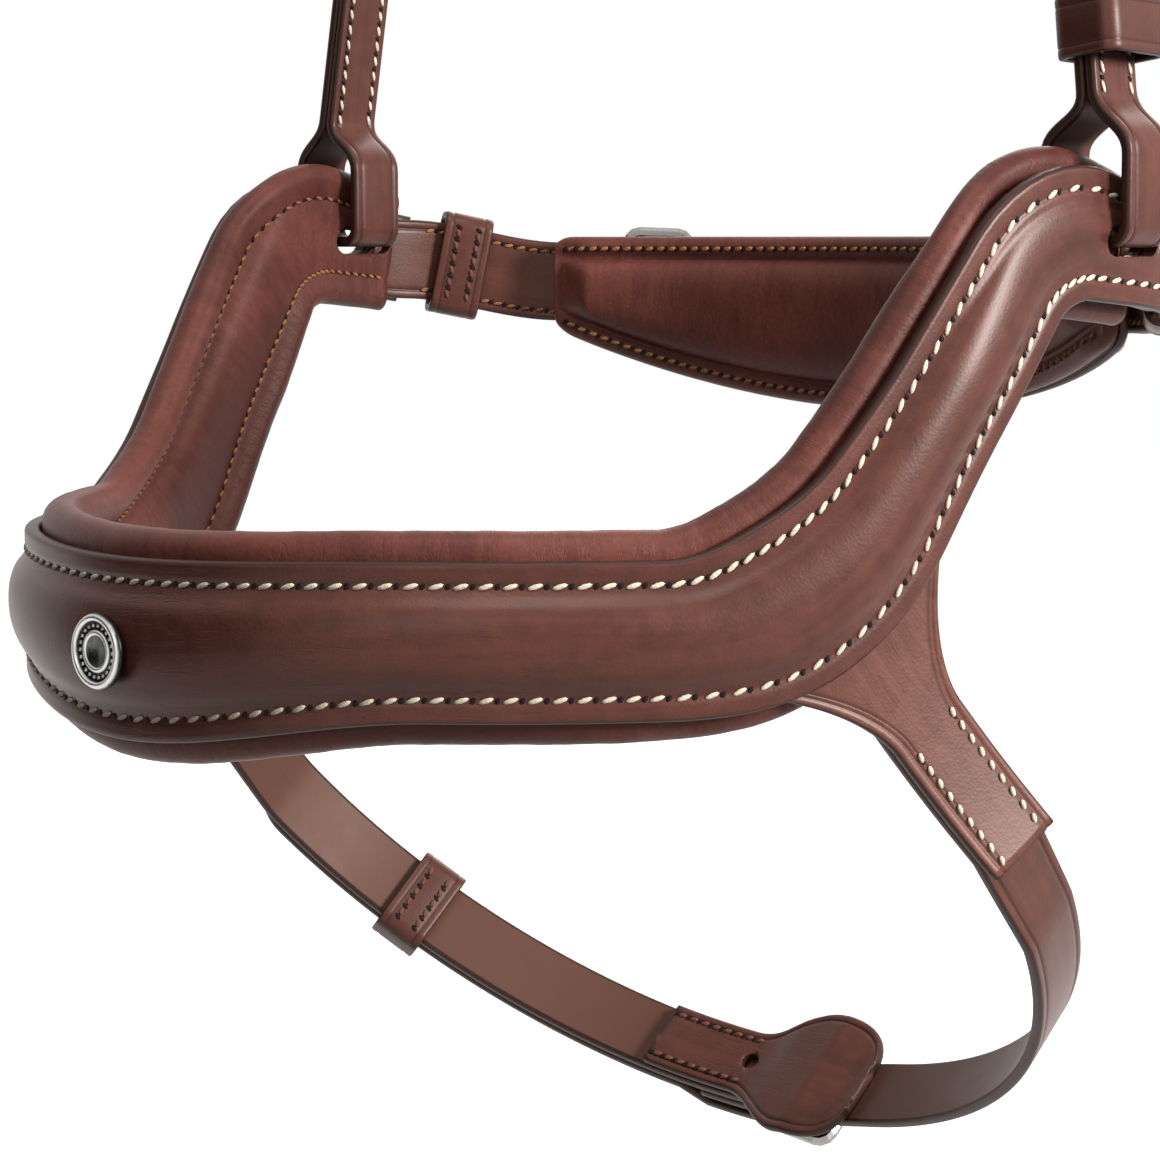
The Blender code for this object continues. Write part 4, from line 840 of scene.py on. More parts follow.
def strapMesh(place, line, width, thick, pointed=(False, False), widths=None):
    # place(along, across, out) bends the strap, line gives its middle as pairs of along and out
    line = list(line)
    if pointed[1]:
        line = tipped(line)
    if pointed[0]:
        line = tipped(line[::-1])[::-1]
    line = np.array(line)
    run = np.concatenate([[0], np.cumsum(np.linalg.norm(np.diff(line, axis=0), axis=1))])
    normals = lineNormals(line)
    half = np.full(len(line), width / 2) if widths is None else widths(line[:, 0]) / 2
    if pointed[1]:
        half = half * tipShare(run[-1] - run)
    if pointed[0]:
        half = half * tipShare(run)
    b, bevel = thick / 2, min(strapLook["round"], thick / 2 - 0.05 * mm)
    fit = np.minimum(1, half / strapLook["narrow"])
    near, last = [bevel] + [step * mm for step in strapSteps], strapSteps[-1] * mm
    columns = []
    for d in near:
        aside = (d - strapLook["crease"]) / strapLook["creaseWidth"]
        columns.append((half - d * fit, b - strapLook["creaseDepth"] * math.exp(-(aside**2)), d))
    inner = half - last * fit
    columns += [(inner * s, b, last + (width / 2 - last) * (1 - s)) for s in (0.66, 0.33)]
    front = columns + [(half * 0, b, width / 2)] + [(-v, o, e) for v, o, e in reversed(columns)]
    high = roundEdge(half, b, bevel)
    side = [(v, o, edgeMark["side"]) for v, o in high + [(v, -o) for v, o in reversed(high)]]
    rim, flesh = half - bevel, edgeMark["flesh"]
    back = [(rim, -b, edgeMark["side"]), (rim * 0.96, -b, flesh), (half * 0, -b, flesh)]  # the flesh side
    back += [(-v, o, e) for v, o, e in reversed(back[:2])]
    ring = front + [(-v, o, e) for v, o, e in side] + back[::-1] + side[::-1]
    across, off, edge = columnTable(ring, half, 3)
    along, out = (line[:, k : k + 1] + normals[:, k : k + 1] * off for k in (0, 1))
    return gridMesh(place(along, across, out), flatUv(run, across), edge)


def strap(name, node, body, place, line, width, thick, material="strap", **more):
    shape = strapMesh(place, line, width, thick, **more)
    return addPiece(name, shape, material, body, "strap_leather", node)


class Route:
    # a line through space with the strap's width direction along it
    def __init__(self, points, widths):
        self.points, self.widths = np.array(points), np.array(widths)
        self.run = np.concatenate([[0], np.cumsum(np.linalg.norm(np.diff(self.points, axis=0), axis=1))])
        self.length = float(self.run[-1])

    def read(self, table, run):
        return np.stack([np.interp(run, self.run, table[:, k]) for k in range(3)], -1)

    def place(self, run, across, out):
        run, across, out = np.broadcast_arrays(run, across, out)
        inside = np.clip(run, 0, self.length)
        ahead, behind = np.minimum(inside + 1 * mm, self.length), np.maximum(inside - 1 * mm, 0)
        along = self.read(self.points, ahead) - self.read(self.points, behind)
        along /= np.linalg.norm(along, axis=-1)[..., None]
        width = self.read(self.widths, inside)
        width -= along * np.sum(width * along, -1)[..., None]
        width /= np.linalg.norm(width, axis=-1)[..., None]
        base = self.read(self.points, inside) + along * (run - inside)[..., None]
        return base + width * across[..., None] + np.cross(along, width) * out[..., None]

    def nearest(self, point):
        return float(self.run[np.argmin(np.linalg.norm(self.points - point, axis=1))])


class Bench:
    # a flat frame at one place of a strap, with its outer side as the strap's
    def __init__(self, place, point, along):
        probe = 0.2 * mm
        self.base = Vector(place(point[0], 0, point[1]))
        self.along = (Vector(place(point[0] + along * probe, 0, point[1])) - self.base).normalized()
        out = Vector(place(point[0], 0, point[1] + probe)) - self.base
        self.out = (out - self.along * out.dot(self.along)).normalized()
        self.across = self.along.cross(self.out)

    def place(self, along, across, out):
        along, across, out = np.broadcast_arrays(along, across, out)
        parts = ((self.along, along), (self.across, across), (self.out, out))
        return np.array(self.base) + sum(np.array(axis) * value[..., None] for axis, value in parts)


# Buckle sizes that the straps share
buckle = {
    "wire": 1.4 * mm,
    "gap": 0.3 * mm,
    "length": 13 * mm,
    "lift": 3.4 * mm,
    "fold": 22 * mm,
    "slotWidth": 4.4 * mm,
    "slotBack": 6 * mm,
    "slotAhead": 7.7 * mm,
    "tongueThick": 1.8 * mm,
    "tongueOver": 1.4 * mm,
    "hole": 3.8 * mm,
    "usedHole": 7.6 * mm,
    "ramp": 2.2,
    "lapRamp": 2,
    "dipStart": 0.8,
    "dipEnd": 1.05,
    "strapCut": 9 * mm,
    "punchCut": 6 * mm,
}


def bulge(thick):
    return buckle["wire"] + buckle["gap"] + thick / 2


foldStep = 1.2 * mm


def foldLine(bar, way, centre, thick, main, lap):
    # a strap folded round a bar, which comes back under itself and goes on as the main strap
    leaf, swell = thick / 2 + buckle["gap"] / 2, bulge(thick)
    ramp = bar + way * swell * buckle["ramp"]
    lapLine = [(bar + way * lap, centre + leaf), (ramp, centre + leaf), (bar, centre + swell)]
    points = smoothLine(lapLine, foldStep)[:-1]
    for angle in np.radians(np.linspace(90, 270, 17)):
        points.append((bar + way * swell * math.cos(angle), centre + swell * math.sin(angle)))
    return points + smoothLine([(bar, centre - swell), (ramp, centre - leaf)], foldStep)[1:] + main


def billetOuts(centre, thick):
    # how far out a billet lies under the frame, over the bar, on the fold's lap and past it
    under = centre + buckle["lift"] - buckle["wire"] - buckle["gap"] - thick / 2
    overBar = centre + bulge(thick) + thick + buckle["gap"]
    return under, overBar, centre + thick * 2 + buckle["gap"] * 1.5, centre + thick / 2 + buckle["gap"] / 2


def tongueLine():
    radius = buckle["wire"] + buckle["gap"] + buckle["tongueThick"] / 2
    reach, rise = buckle["length"], buckle["lift"] + radius
    slope = math.atan2(rise, reach) - math.asin(radius / math.hypot(reach, rise))
    top = 90 + math.degrees(slope)
    points = arcPoints((0, 0), radius, top + 250, top, 24)
    start, end = Vector(points[-1]), Vector((math.cos(slope), math.sin(slope))) * (reach + buckle["tongueOver"])
    return points + [tuple(start + end * s) for s in (0.3, 0.6, 0.85, 1)]


def punch(piece, place, point, direction, length):
    probe = 0.2 * mm
    (run, level), (onward, rise) = point, direction
    base = Vector(place(run, 0, level))
    along = (Vector(place(run + onward * probe, 0, level + rise * probe)) - base).normalized()
    out = Vector(place(run - rise * probe, 0, level + onward * probe)) - base
    out = (out - along * out.dot(along)).normalized()
    across = along.cross(out)
    outline = [base + along * a + across * b for a, b in stadium(length, buckle["hole"])]
    cutAway(piece, outline, out, buckle["punchCut"])


def plainHole(piece, place, line, spot):
    line = sorted(line)
    out = float(np.interp(spot, [p[0] for p in line], [p[1] for p in line]))
    punch(piece, place, (spot, out), (1, 0), buckle["hole"])


def usedHole(piece, place, line, bar, way):
    # the long hole where the tongue passes through the billet
    line = sorted(line)
    runs, outs = [p[0] for p in line], [p[1] for p in line]
    tongue = tongueLine()[-5:]
    steps = np.linspace(0, buckle["length"], 60)
    lift = np.interp(steps, [p[0] for p in tongue], [p[1] for p in tongue])
    gaps = np.abs(np.interp(bar + way * steps, runs, outs) - lift)
    spot = bar + way * steps[int(np.argmin(gaps))]
    rise = float(np.interp(spot + 0.2 * mm, runs, outs) - np.interp(spot - 0.2 * mm, runs, outs))
    size = math.hypot(0.4 * mm, rise)
    level, direction = float(np.interp(spot, runs, outs)), (0.4 * mm / size, rise / size)
    punch(piece, place, (spot, level), direction, buckle["usedHole"])


def barSlot(piece, bench):
    back, ahead, half = -buckle["slotBack"], buckle["slotAhead"], buckle["slotWidth"] / 2
    outline = [bench.place(a, b, 0) for a, b in ((back, -half), (ahead, -half), (ahead, half), (back, half))]
    cutAway(piece, outline, bench.out, buckle["strapCut"])


def strapSeam(name, body, place, line, across, start, end, pitch, side, thick, scale=0.9, yarn="thread"):
    line = np.array(sorted(line))

    def surface(runs, lift):
        out = np.interp(runs, line[:, 0], line[:, 1])
        return place(runs, across + runs * 0, out + side * (thick / 2 + lift))

    surfaceSeam(name, body, surface, start, end, pitch, scale=scale, yarn=yarn)


# Keepers: each ring is a share of the wall, its distance from an end in millimetres and its edge value
keeperLook = {
    "length": 11 * mm,
    "gap": 1.0 * mm,
    "wall": 1.7 * mm,
    "corner": 1.6 * mm,
    "seamInset": 3.2 * mm,
    "seamEnd": 1.5 * mm,
    "stitchPitch": 2.7 * mm,
}
keeperRings = [(0.0, 0.5, -0.4), (0.12, 0, -0.2), (0.88, 0, -0.2), (1.0, 0.5, 0.6), (1.0, 1.4, 1.4)]
keeperRings += [(0.93, 1.8, 2.0), (1.0, 2.3, 2.4)]


def roundedLoop(halfWidth, halfHeight, radius, steps=6):
    points = []
    for a, b, start in ((1, 1, 0), (-1, 1, 90), (-1, -1, 180), (1, -1, 270)):
        centre = (a * (halfWidth - radius), b * (halfHeight - radius))
        points += arcPoints(centre, radius, start, start + 90, steps)
    return points


def keeper(name, node, body, bench, width, low, high, sewn=True):
    wall, half, gap = keeperLook["wall"], keeperLook["length"] / 2, keeperLook["gap"]
    w, h, middle = width / 2 + gap, (high - low) / 2 + gap, (high + low) / 2
    rings, edges = [], []
    first = [(share, half - inset * mm, e) for share, inset, e in keeperRings]
    stops = first + [(1.0, 0.0, 5.0)] + [(s, -t, e) for s, t, e in reversed(first)] + [(0.0, 0.0, -1.0)]
    for share, t, e in stops:
        grow = wall * share
        loop = np.array(roundedLoop(w + grow, h + grow, keeperLook["corner"] + grow))
        rings.append(bench.place(t, loop[:, 0], loop[:, 1] + middle))
        edges.append(np.full(len(loop), e * mm))
    points, edge = np.array(rings), np.array(edges)
    shape = gridMesh(points, np.zeros(edge.shape + (2,)), edge, loop=True)
    addPiece(name, shape, "strap", body, "strap_leather", node)
    if sewn:
        for label, spot in (("A", keeperLook["seamInset"] - half), ("B", half - keeperLook["seamInset"])):
            def surface(runs, lift, spot=spot):
                return bench.place(spot, runs, middle - h - wall - lift)

            reach, pitch = w - keeperLook["seamEnd"], keeperLook["stitchPitch"]
            surfaceSeam(name + "Seam" + label, body, surface, -reach, reach, pitch, scale=1.1, yarn="brown")


# Y-pieces
yPiece = {
    "rootRun": 133.8 * mm,
    "rootDrop": 63.8 * mm,
    "length": 52.5 * mm,
    "fall": 54.1,
    "leg": 16 * mm,
    "web": 30 * mm,
    "webShare": 0.475,
    "webPower": 1.7,
    "flare": 8.5 * mm,
    "thick": 2.2 * mm,
    "seamInset": 3.0 * mm,
    "seamLift": 0.1 * mm,
    "stitchPitch": 2.9 * mm,
    "steps": 40,
}


def yHalf(share):
    web = np.clip(1 - share / yPiece["webShare"], 0, 1)
    return yPiece["leg"] / 2 + yPiece["web"] / 2 * web ** yPiece["webPower"]


def yPoint(share, across, out, side=1):
    # a point by its share of the leg's length from the root, its place across and its distance out
    fall = math.radians(yPiece["fall"])
    run = yPiece["rootRun"] + yPiece["length"] * share * math.cos(fall) + across * math.sin(fall)
    height = -yPiece["rootDrop"] - yPiece["length"] * share * math.sin(fall) + across * math.cos(fall)
    return ringPoint(side * run, height, out + yPiece["flare"] * share * share)


yMiddle = -lining["gap"] * 1.5 - yPiece["thick"] / 2


def buildY(name, node, side):
    length, thick = yPiece["length"], yPiece["thick"]

    def place(along, across, out):
        return yPoint(along / length, across, out + yMiddle, side)

    def widths(along):
        return 2 * yHalf(along / length)

    line = [(length * k / yPiece["steps"], 0.0) for k in range(yPiece["steps"] + 1)]
    strap(name, node, "noseband", place, line, yPiece["leg"], thick, "gusset", widths=widths)
    for label, sign, start, end in (("Front", -1, 0.5, 0.99), ("Rear", 1, 0.46, 0.97)):
        def surface(runs, lift, sign=sign):
            across = sign * (yHalf(runs / length) - yPiece["seamInset"])
            return place(runs, across, thick / 2 + yPiece["seamLift"] + lift)

        start, end = length * start, length * end
        pitch = yPiece["stitchPitch"]
        surfaceSeam(name + label + "Seam", "noseband", surface, start, end, pitch, slant=-side, scale=1.1)


buildY("yPieceNear", "y_piece_near", 1)
buildY("yPieceFar", "y_piece_far", -1)
print("y-pieces made")

# Chin strap
chin = {
    "width": 15.8 * mm,
    "thick": 2.3 * mm,
    "spread": 0.3 * mm,
    "drop": 96.4 * mm,
    "fall": 49,
    "rootShare": 0.32,
    "barPastMiddle": 3 * mm,
    "tipToY": 20 * mm,
    "keeperPastMiddle": 99.4 * mm,
    "holeStep": 22 * mm,
    "holes": 4,
    "pastLap": 6 * mm,
}


def chinRoute():
    under = -lining["gap"] * 2.5 - yPiece["thick"] - chin["thick"] / 2
    shares = [chin["rootShare"] + (1 - chin["rootShare"]) * k / 13 for k in range(13)]
    points = [yPoint(s, 0, under) for s in shares]
    widths = [yPoint(s, yPiece["leg"] / 2, under) - yPoint(s, -yPiece["leg"] / 2, under) for s in shares]
    widths = [w / np.linalg.norm(w) for w in widths]
    top = yPoint(1.0, 0, under)
    fall = math.radians(chin["fall"])
    down, wide = np.array([0, math.cos(fall), -math.sin(fall)]), np.array([0, math.sin(fall), math.cos(fall)])
    for k in range(8, 61):
        angle = math.pi / 2 * k / 60
        place = np.array([(top[0] + chin["spread"]) * math.cos(angle), top[1], top[2]])
        points.append(place + down * chin["drop"] * math.sin(angle))
        widths.append(wide)
    flip = np.array([-1, 1, 1])
    return Route(points + [p * flip for p in points[-2::-1]], widths + [w * flip for w in widths[-2::-1]])


chinPath = chinRoute()


def buildChin():
    thick, width, length, step = chin["thick"], chin["width"], buckle["length"], strapLook["step"]
    middle = chinPath.length / 2
    bar = middle - chin["barPastMiddle"]
    under, overBar, overLap, pastLap = billetOuts(0, thick)
    lapEnd, swell = bar + buckle["fold"], bulge(thick)
    tipRun = chinPath.length - chinPath.nearest(yPoint(1.0, 0, 0)) - chin["tipToY"]
    places = [(0, 0), (bar - length * 2, 0), (bar - length * buckle["dipEnd"], under)]
    places += [(bar - length * buckle["dipStart"], under), (bar, overBar)]
    places += [(bar + swell * buckle["lapRamp"], overLap), (lapEnd, overLap)]
    places += [(lapEnd + chin["pastLap"], pastLap), (tipRun, pastLap)]
    line = smoothLine(places, step)
    ends = (False, True)
    billet = strap("chinBillet", "chin_billet", "noseband", chinPath.place, line, width, thick, pointed=ends)
    leaf = -thick / 2 - buckle["gap"] / 2
    main = smoothLine([(bar + swell * buckle["ramp"], leaf), (chinPath.length, leaf)], step)[1:]
    folded = foldLine(bar, 1, 0, thick, main, buckle["fold"])
    loop = strap("chinBuckleStrap", "chin_buckle_strap", "noseband", chinPath.place, folded, width, thick)
    barSlot(loop, Bench(chinPath.place, (bar, 0), -1))
    usedHole(billet, chinPath.place, line, bar, -1)
    for k in range(chin["holes"]):
        plainHole(billet, chinPath.place, line, bar + chin["holeStep"] * (k + 1))
    bench = Bench(chinPath.place, (middle + chin["keeperPastMiddle"], 0), 1)
    keeper("chinKeeper", "chin_keeper", "chin_keeper", bench, width, leaf - thick / 2, pastLap + thick / 2)
    buildGuard(bar)


guard = {
    "width": 31 * mm,
    "neck": 15.6 * mm,
    "neckReach": 36 * mm,
    "blade": 21.5 * mm,
    "thick": 2.0 * mm,
    "hole": 4.0 * mm,
    "holeBack": 10.8 * mm,
    "widest": 0.3,
    "blunt": 0.42,
    "step": 1.5 * mm,
    "seamInset": 2.4 * mm,
    "seamStart": 10 * mm,
    "seamEnd": 1 * mm,
    "stitchPitch": 3.3 * mm,
}
bladeShares = (0.5, 0.6, 0.7, 0.78, 0.85, 0.9, 0.94, 0.965, 0.985, 0.995, 1)


def guardWidth(distance):
    widest = guard["blade"] * guard["widest"]
    places = [-guard["neckReach"], -guard["neckReach"] * 0.36, widest]
    width = easedTable(distance, places, [guard["neck"], guard["neck"], guard["width"]])
    share = np.clip((distance - widest) / (guard["blade"] - widest), 0, 1)
    end = guard["width"] * (guard["blunt"] + (1 - guard["blunt"]) * (1 - share**3.2) ** 0.6)
    return np.where(distance > widest, end, width)


def buildGuard(bar):
    thick, chinThick, gap, bend = guard["thick"], chin["thick"], buckle["gap"], buckle["length"] * 0.7
    neck = -chinThick - gap * 1.5 - thick / 2
    swell = -bulge(chinThick) - chinThick / 2 - gap - thick / 2
    end = -chinThick / 2 - gap - thick / 2
    places = [(bar + guard["neckReach"], neck), (bar + bend, neck), (bar, swell), (bar - bend, swell)]
    for share in bladeShares:
        level = swell + (end - swell) * float(ease((share - 0.34) / 0.66))
        places.append((bar - guard["blade"] * share, level))
    line = smoothLine(places, guard["step"])

    def widths(along):
        return guardWidth(bar - along)

    size = (guard["width"], thick)
    piece = strap("chinGuard", "chin_guard", "noseband", chinPath.place, line, *size, widths=widths)
    punch(piece, chinPath.place, (bar + guard["holeBack"], neck), (1, 0), guard["hole"])
    start, reach = bar + guard["seamStart"], bar + guard["neckReach"] - guard["seamEnd"]
    for label, sign in (("Low", -1), ("High", 1)):
        row = (sign * (guard["neck"] / 2 - guard["seamInset"]), start, reach, guard["stitchPitch"], -1, thick)
        strapSeam("guardSeam" + label, "noseband", chinPath.place, line, *row, 1.1, "brown")


buildChin()
print("chin strap made")

# Jaw strap and pad
jaw = {
    "width": 17.8 * mm,
    "thick": 2.2 * mm,
    "root": 178.7 * mm,
    "bar": 264.1 * mm,
    "tip": 223.1 * mm,
    "keeper": 225.9 * mm,
    "endDrop": 9 * mm,
    "middleDrop": 12.4 * mm,
    "holeStep": 22 * mm,
    "pastLap": 6 * mm,
    "steps": 160,
    "seamInset": 2.2 * mm,
    "seamStart": 2 * mm,
    "seamEnd": 9 * mm,
    "stitchPitch": 3.2 * mm,
}
pad = {
    "end": 249.1 * mm,
    "top": 1.2 * mm,
    "endHeight": 20.9 * mm,
    "belly": 16.3 * mm,
    "depth": 8.5 * mm,
    "border": 5 * mm,
    "borderDepth": 5.2 * mm,
    "backing": 1.8 * mm,
    "backingWidth": 36 * mm,
    "skin": 1.2 * mm,
    "endShare": 0.78,
    "thinShare": 0.6,
    "wrinkle": 0.02 * mm,
    "seamLift": 0.05 * mm,
    "stitchPitch": 3 * mm,
}
padSteps = [0, 0.3, 0.8, 1.5, 2.4, 3.4, 4.6]


def jawHeight(run):
    start = float(np.interp(peakEnd, bandRun, bandPath[:, 1]))
    places = [jaw["root"], band["tail"][0], pad["end"], ringHalf]
    return easedTable(run, places, [start, band["tail"][1], -jaw["endDrop"], -jaw["middleDrop"]])


def jawRoute():
    count = jaw["steps"] + 1
    runs = np.linspace(jaw["root"], 2 * ringHalf - jaw["root"], count)
    level = jawHeight(np.where(runs <= ringHalf, runs, 2 * ringHalf - runs))
    return Route(ringPoint(runs, level, 0), np.tile([0.0, 0.0, 1.0], (count, 1)))


jawPath = jawRoute()


def farJaw(run, across, out):
    return jawPath.place(jawPath.length - run, across, out)


def buildJaw():
    thick, width, gap, step = jaw["thick"], jaw["width"], buckle["gap"], strapLook["step"]
    spots = (ringPoint(jaw[k], float(jawHeight(jaw[k])), 0) for k in ("bar", "tip", "keeper"))
    bar, tipRun, spot = (jawPath.nearest(point) for point in spots)
    middle, centre = jawPath.length / 2, -gap
    mainOut = centre - thick / 2 - gap / 2
    under, overBar, overLap, pastLap = billetOuts(centre, thick)
    lapEnd, swell, length = bar - buckle["fold"], bulge(thick), buckle["length"]
    backing = centre - swell - thick / 2 - gap
    sewn = backing + gap + thick / 2
    half = [(tipRun, pastLap), (lapEnd - jaw["pastLap"], pastLap), (lapEnd, overLap)]
    half += [(bar - swell * buckle["lapRamp"], overLap), (bar, overBar)]
    half += [(bar + length * buckle["dipStart"], under), (bar + length * buckle["dipEnd"], under)]
    half += [(bar + length * 2.3, sewn), (middle, sewn)]
    line = smoothLine(half + [(jawPath.length - a, b) for a, b in reversed(half[:-1])], step)
    flipped = [(jawPath.length - a, b) for a, b in line]
    ends = (True, True)
    outer = strap("jawPadStrap", "jaw_pad_strap", "noseband", jawPath.place, line, width, thick, pointed=ends)
    for side, label, place in ((1, "near", jawPath.place), (-1, "far", farJaw)):
        main = smoothLine([(bar - swell * buckle["ramp"], mainOut), (0, mainOut)], step)[1:]
        folded = foldLine(bar, -1, centre, thick, main, buckle["fold"])
        node = "jaw_buckle_strap_" + label
        tail = strap("jawBuckleStrap" + label, node, "noseband", place, folded, width, thick)
        cutSlots(tail)
        start, end = bar - jaw["bar"] + band["tail"][0] + jaw["seamStart"], bar - jaw["seamEnd"]
        for row, sign in (("Low", -1), ("High", 1)):
            seamRow = (sign * (width / 2 - jaw["seamInset"]), start, end, jaw["stitchPitch"], -1, thick)
            flat = [(0, mainOut), (bar, mainOut)]
            strapSeam("jawSeam" + label + row, "noseband", place, flat, *seamRow, yarn="tan")
        barSlot(tail, Bench(place, (bar, centre), 1))
        own = [(a, b - centre) for a, b in (line if side > 0 else flipped)]

        def lifted(run, across, out, place=place):
            return place(run, across, out + centre)

        usedHole(outer, lifted, own, bar, 1)
        plainHole(outer, lifted, own, bar - jaw["holeStep"])
        ring, node = Bench(place, (spot, 0), 1), "jaw_keeper_" + label
        keeper("jawKeeper" + label, node, node, ring, width, mainOut - thick / 2, pastLap + thick / 2)
    buildPad(backing)


def padLeft(run):
    # how far a place on the pad is from its nearer end
    return np.minimum(run - pad["end"], 2 * ringHalf - pad["end"] - run)


def padHalf(run):
    # the middle height of the pad and half its height there
    share = (run - ringHalf) / (ringHalf - pad["end"])
    top, low = pad["top"], pad["top"] - pad["endHeight"] - pad["belly"] * np.clip(1 - share * share, 0, 1)
    left = np.clip(padLeft(run) / pad["border"], 0, 1)
    narrow = pad["endShare"] + (1 - pad["endShare"]) * np.sqrt(1 - (1 - left) ** 2)
    return (top + low) / 2, (top - low) / 2 * narrow


def padRise(run):
    return ease(padLeft(run) / (pad["border"] * 2))


def padBorder(rise):
    # the depth of the sewn border, which is thinner at the pad's ends
    return pad["borderDepth"] * (pad["thinShare"] + (1 - pad["thinShare"]) * rise)


def buildPad(backing):
    start, end, thick = pad["end"], 2 * ringHalf - pad["end"], pad["backing"]
    close = [start + step * mm for step in padSteps] + [end - step * mm for step in padSteps]
    runs = np.unique(np.concatenate([np.linspace(start, end, 120), close]))
    middle, half = padHalf(runs)

    def place(along, across, out):
        return ringPoint(along, np.interp(along, runs, middle) + across, out)

    def widths(along):
        return 2 * padHalf(along)[1]

    line, size = [(run, backing - thick / 2) for run in runs], (pad["backingWidth"], thick)
    strap("jawPadBacking", "jaw_pad_backing", "noseband", place, line, *size, widths=widths)
    front, rise = backing - thick - buckle["gap"], padRise(runs)
    border = padBorder(rise)
    depth = border + (pad["depth"] - pad["borderDepth"]) * rise
    groove = border - pad["skin"] * rise
    inner = half - pad["border"]
    columns = [(half - 0.5 * mm, half * 0)]
    for angle in np.radians(np.linspace(60, -90, 9)):
        columns.append((half + border * 0.5 * (math.cos(angle) - 1), border * 0.5 * (math.sin(angle) - 1)))
    columns += [(inner + 0.9 * mm, -groove - (border - groove) * 0.4), (inner, -groove)]
    for s in (0.97, 0.92, 0.84, 0.72, 0.56, 0.38, 0.2):
        columns.append((inner * s, -groove - (depth - groove) * (1 - s**4) ** 0.7))
    columns += [(half * 0, -depth)] + [(-a, b) for a, b in reversed(columns)]
    columns += [(-inner * 0.5, half * 0), (inner * 0.5, half * 0)]
    across, out = columnTable(columns, runs)
    wave = wrinkles(runs[:, None], across / (4 * mm), 2) * pad["wrinkle"] * (out < -2 * mm)
    points = ringPoint(runs[:, None], middle[:, None] + across, front + out + wave)
    shape = gridMesh(points, flatUv(runs, across), across * 0)
    nodes = ("jaw_pad_lining", "jaw_pad_foam")
    soft = addPiece("jawPadLining", shape, "lining", "noseband", "lining_leather", *nodes)
    padSeams(front)


def padSeams(front):
    start, end = pad["end"] + pad["border"] * 0.6, 2 * ringHalf - pad["end"] - pad["border"] * 0.6
    pitch = pad["stitchPitch"]

    def ridge(run, inset):
        middle, half = padHalf(run)
        return middle, half - inset, front - padBorder(padRise(run)) - pad["seamLift"]

    for name, sign in (("padSeamTop", 1), ("padSeamLow", -1)):
        def surface(runs, lift, sign=sign):
            middle, reach, out = ridge(runs, pad["border"] * 0.55)
            return ringPoint(runs, middle + sign * reach, out - lift)

        surfaceSeam(name, "noseband", surface, start, end, pitch, yarn="tan")
    for name, run in (("padSeamNear", start), ("padSeamFar", end)):
        middle, reach, out = ridge(run, pad["border"] * 1.3)

        def upright(heights, lift, run=run, middle=middle, out=out):
            return ringPoint(run, middle + heights, out - lift)

        surfaceSeam(name, "noseband", upright, -float(reach), float(reach), pitch, yarn="tan")


buildJaw()
print("jaw strap made")

# Head strap and near hanger, in one upright plane that leans back
hanger = {
    "width": 13 * mm,
    "thick": 2.2 * mm,
    "lean": 7.5,
    "legGap": 0.9 * mm,
    "innerGap": 2.3 * mm,
    "turn": 3.2 * mm,
    "join": 27 * mm,
    "farLap": 57 * mm,
    "arch": 335 * mm,
    "archLift": 42 * mm,
    "archReach": 34 * mm,
    "flat": 26 * mm,
    "bar": 104 * mm,
    "tip": 39 * mm,
    "end": 62 * mm,
    "endGap": 1 * mm,
    "fixedKeeper": 84 * mm,
    "looseKeeper": 38 * mm,
    "holeStep": 22 * mm,
    "holes": 4,
    "seamInset": 2.3 * mm,
    "seamStart": 1.5 * mm,
    "seamEnd": 2 * mm,
    "tipShort": 3 * mm,
    "stitchPitch": 3.2 * mm,
}
slotX = float(ringPoint(head["slotRun"], 0, 0)[0])
slotPlace = float(bandRun[np.argmin(np.abs(bandPath[:, 0] - head["slotRun"]))])


def headPlace(x, across, height):
    x, across, height = np.broadcast_arrays(x, across, height)
    share = np.clip((height - hanger["join"]) / (head["drop"] - hanger["join"]), 0, 1)
    return np.stack([x, head["slotY"] * (1 - share) + across, height - head["drop"]], -1)


def legOuts():
    outer = band["thick"] + float(crownAt(slotPlace)) + hanger["legGap"] + hanger["thick"] / 2
    roll = lining["topRadius"] * lining["peakRoll"]
    deepest = -lining["gap"] - lining["pocket"] - roll * (1 + math.cos(math.radians(15)))
    return outer, deepest - hanger["innerGap"] - hanger["thick"] / 2


legOuter, legInner = legOuts()


def leanPoint(height, out):
    # a place on the leaning part of a hanger, as its distance aside and its height
    lean = math.radians(hanger["lean"])
    x = slotX + (legOuter + legInner) / 2 - (height - hanger["join"]) * math.tan(lean)
    return x + out * math.cos(lean), height + out * math.sin(lean)


def leanPlace(height, across, out):
    x, level = leanPoint(height, out)
    return headPlace(x, across, level)


def curvePoints(start, startPull, endPull, end, steps):
    t = np.linspace(0, 1, steps + 1)[:, None]
    a, b, c, d = (1 - t) ** 3, 3 * t * (1 - t) ** 2, 3 * t * t * (1 - t), t**3
    start, startPull, endPull, end = (np.array(p) for p in (start, startPull, endPull, end))
    return [tuple(p) for p in a * start + b * startPull + c * endPull + d * end]


def slotTurn():
    r = hanger["turn"]
    low = arcPoints((slotX + legInner + r, r), r, 180, 270, 10)
    return low + arcPoints((slotX + legOuter - r, r), r, 270, 360, 10)


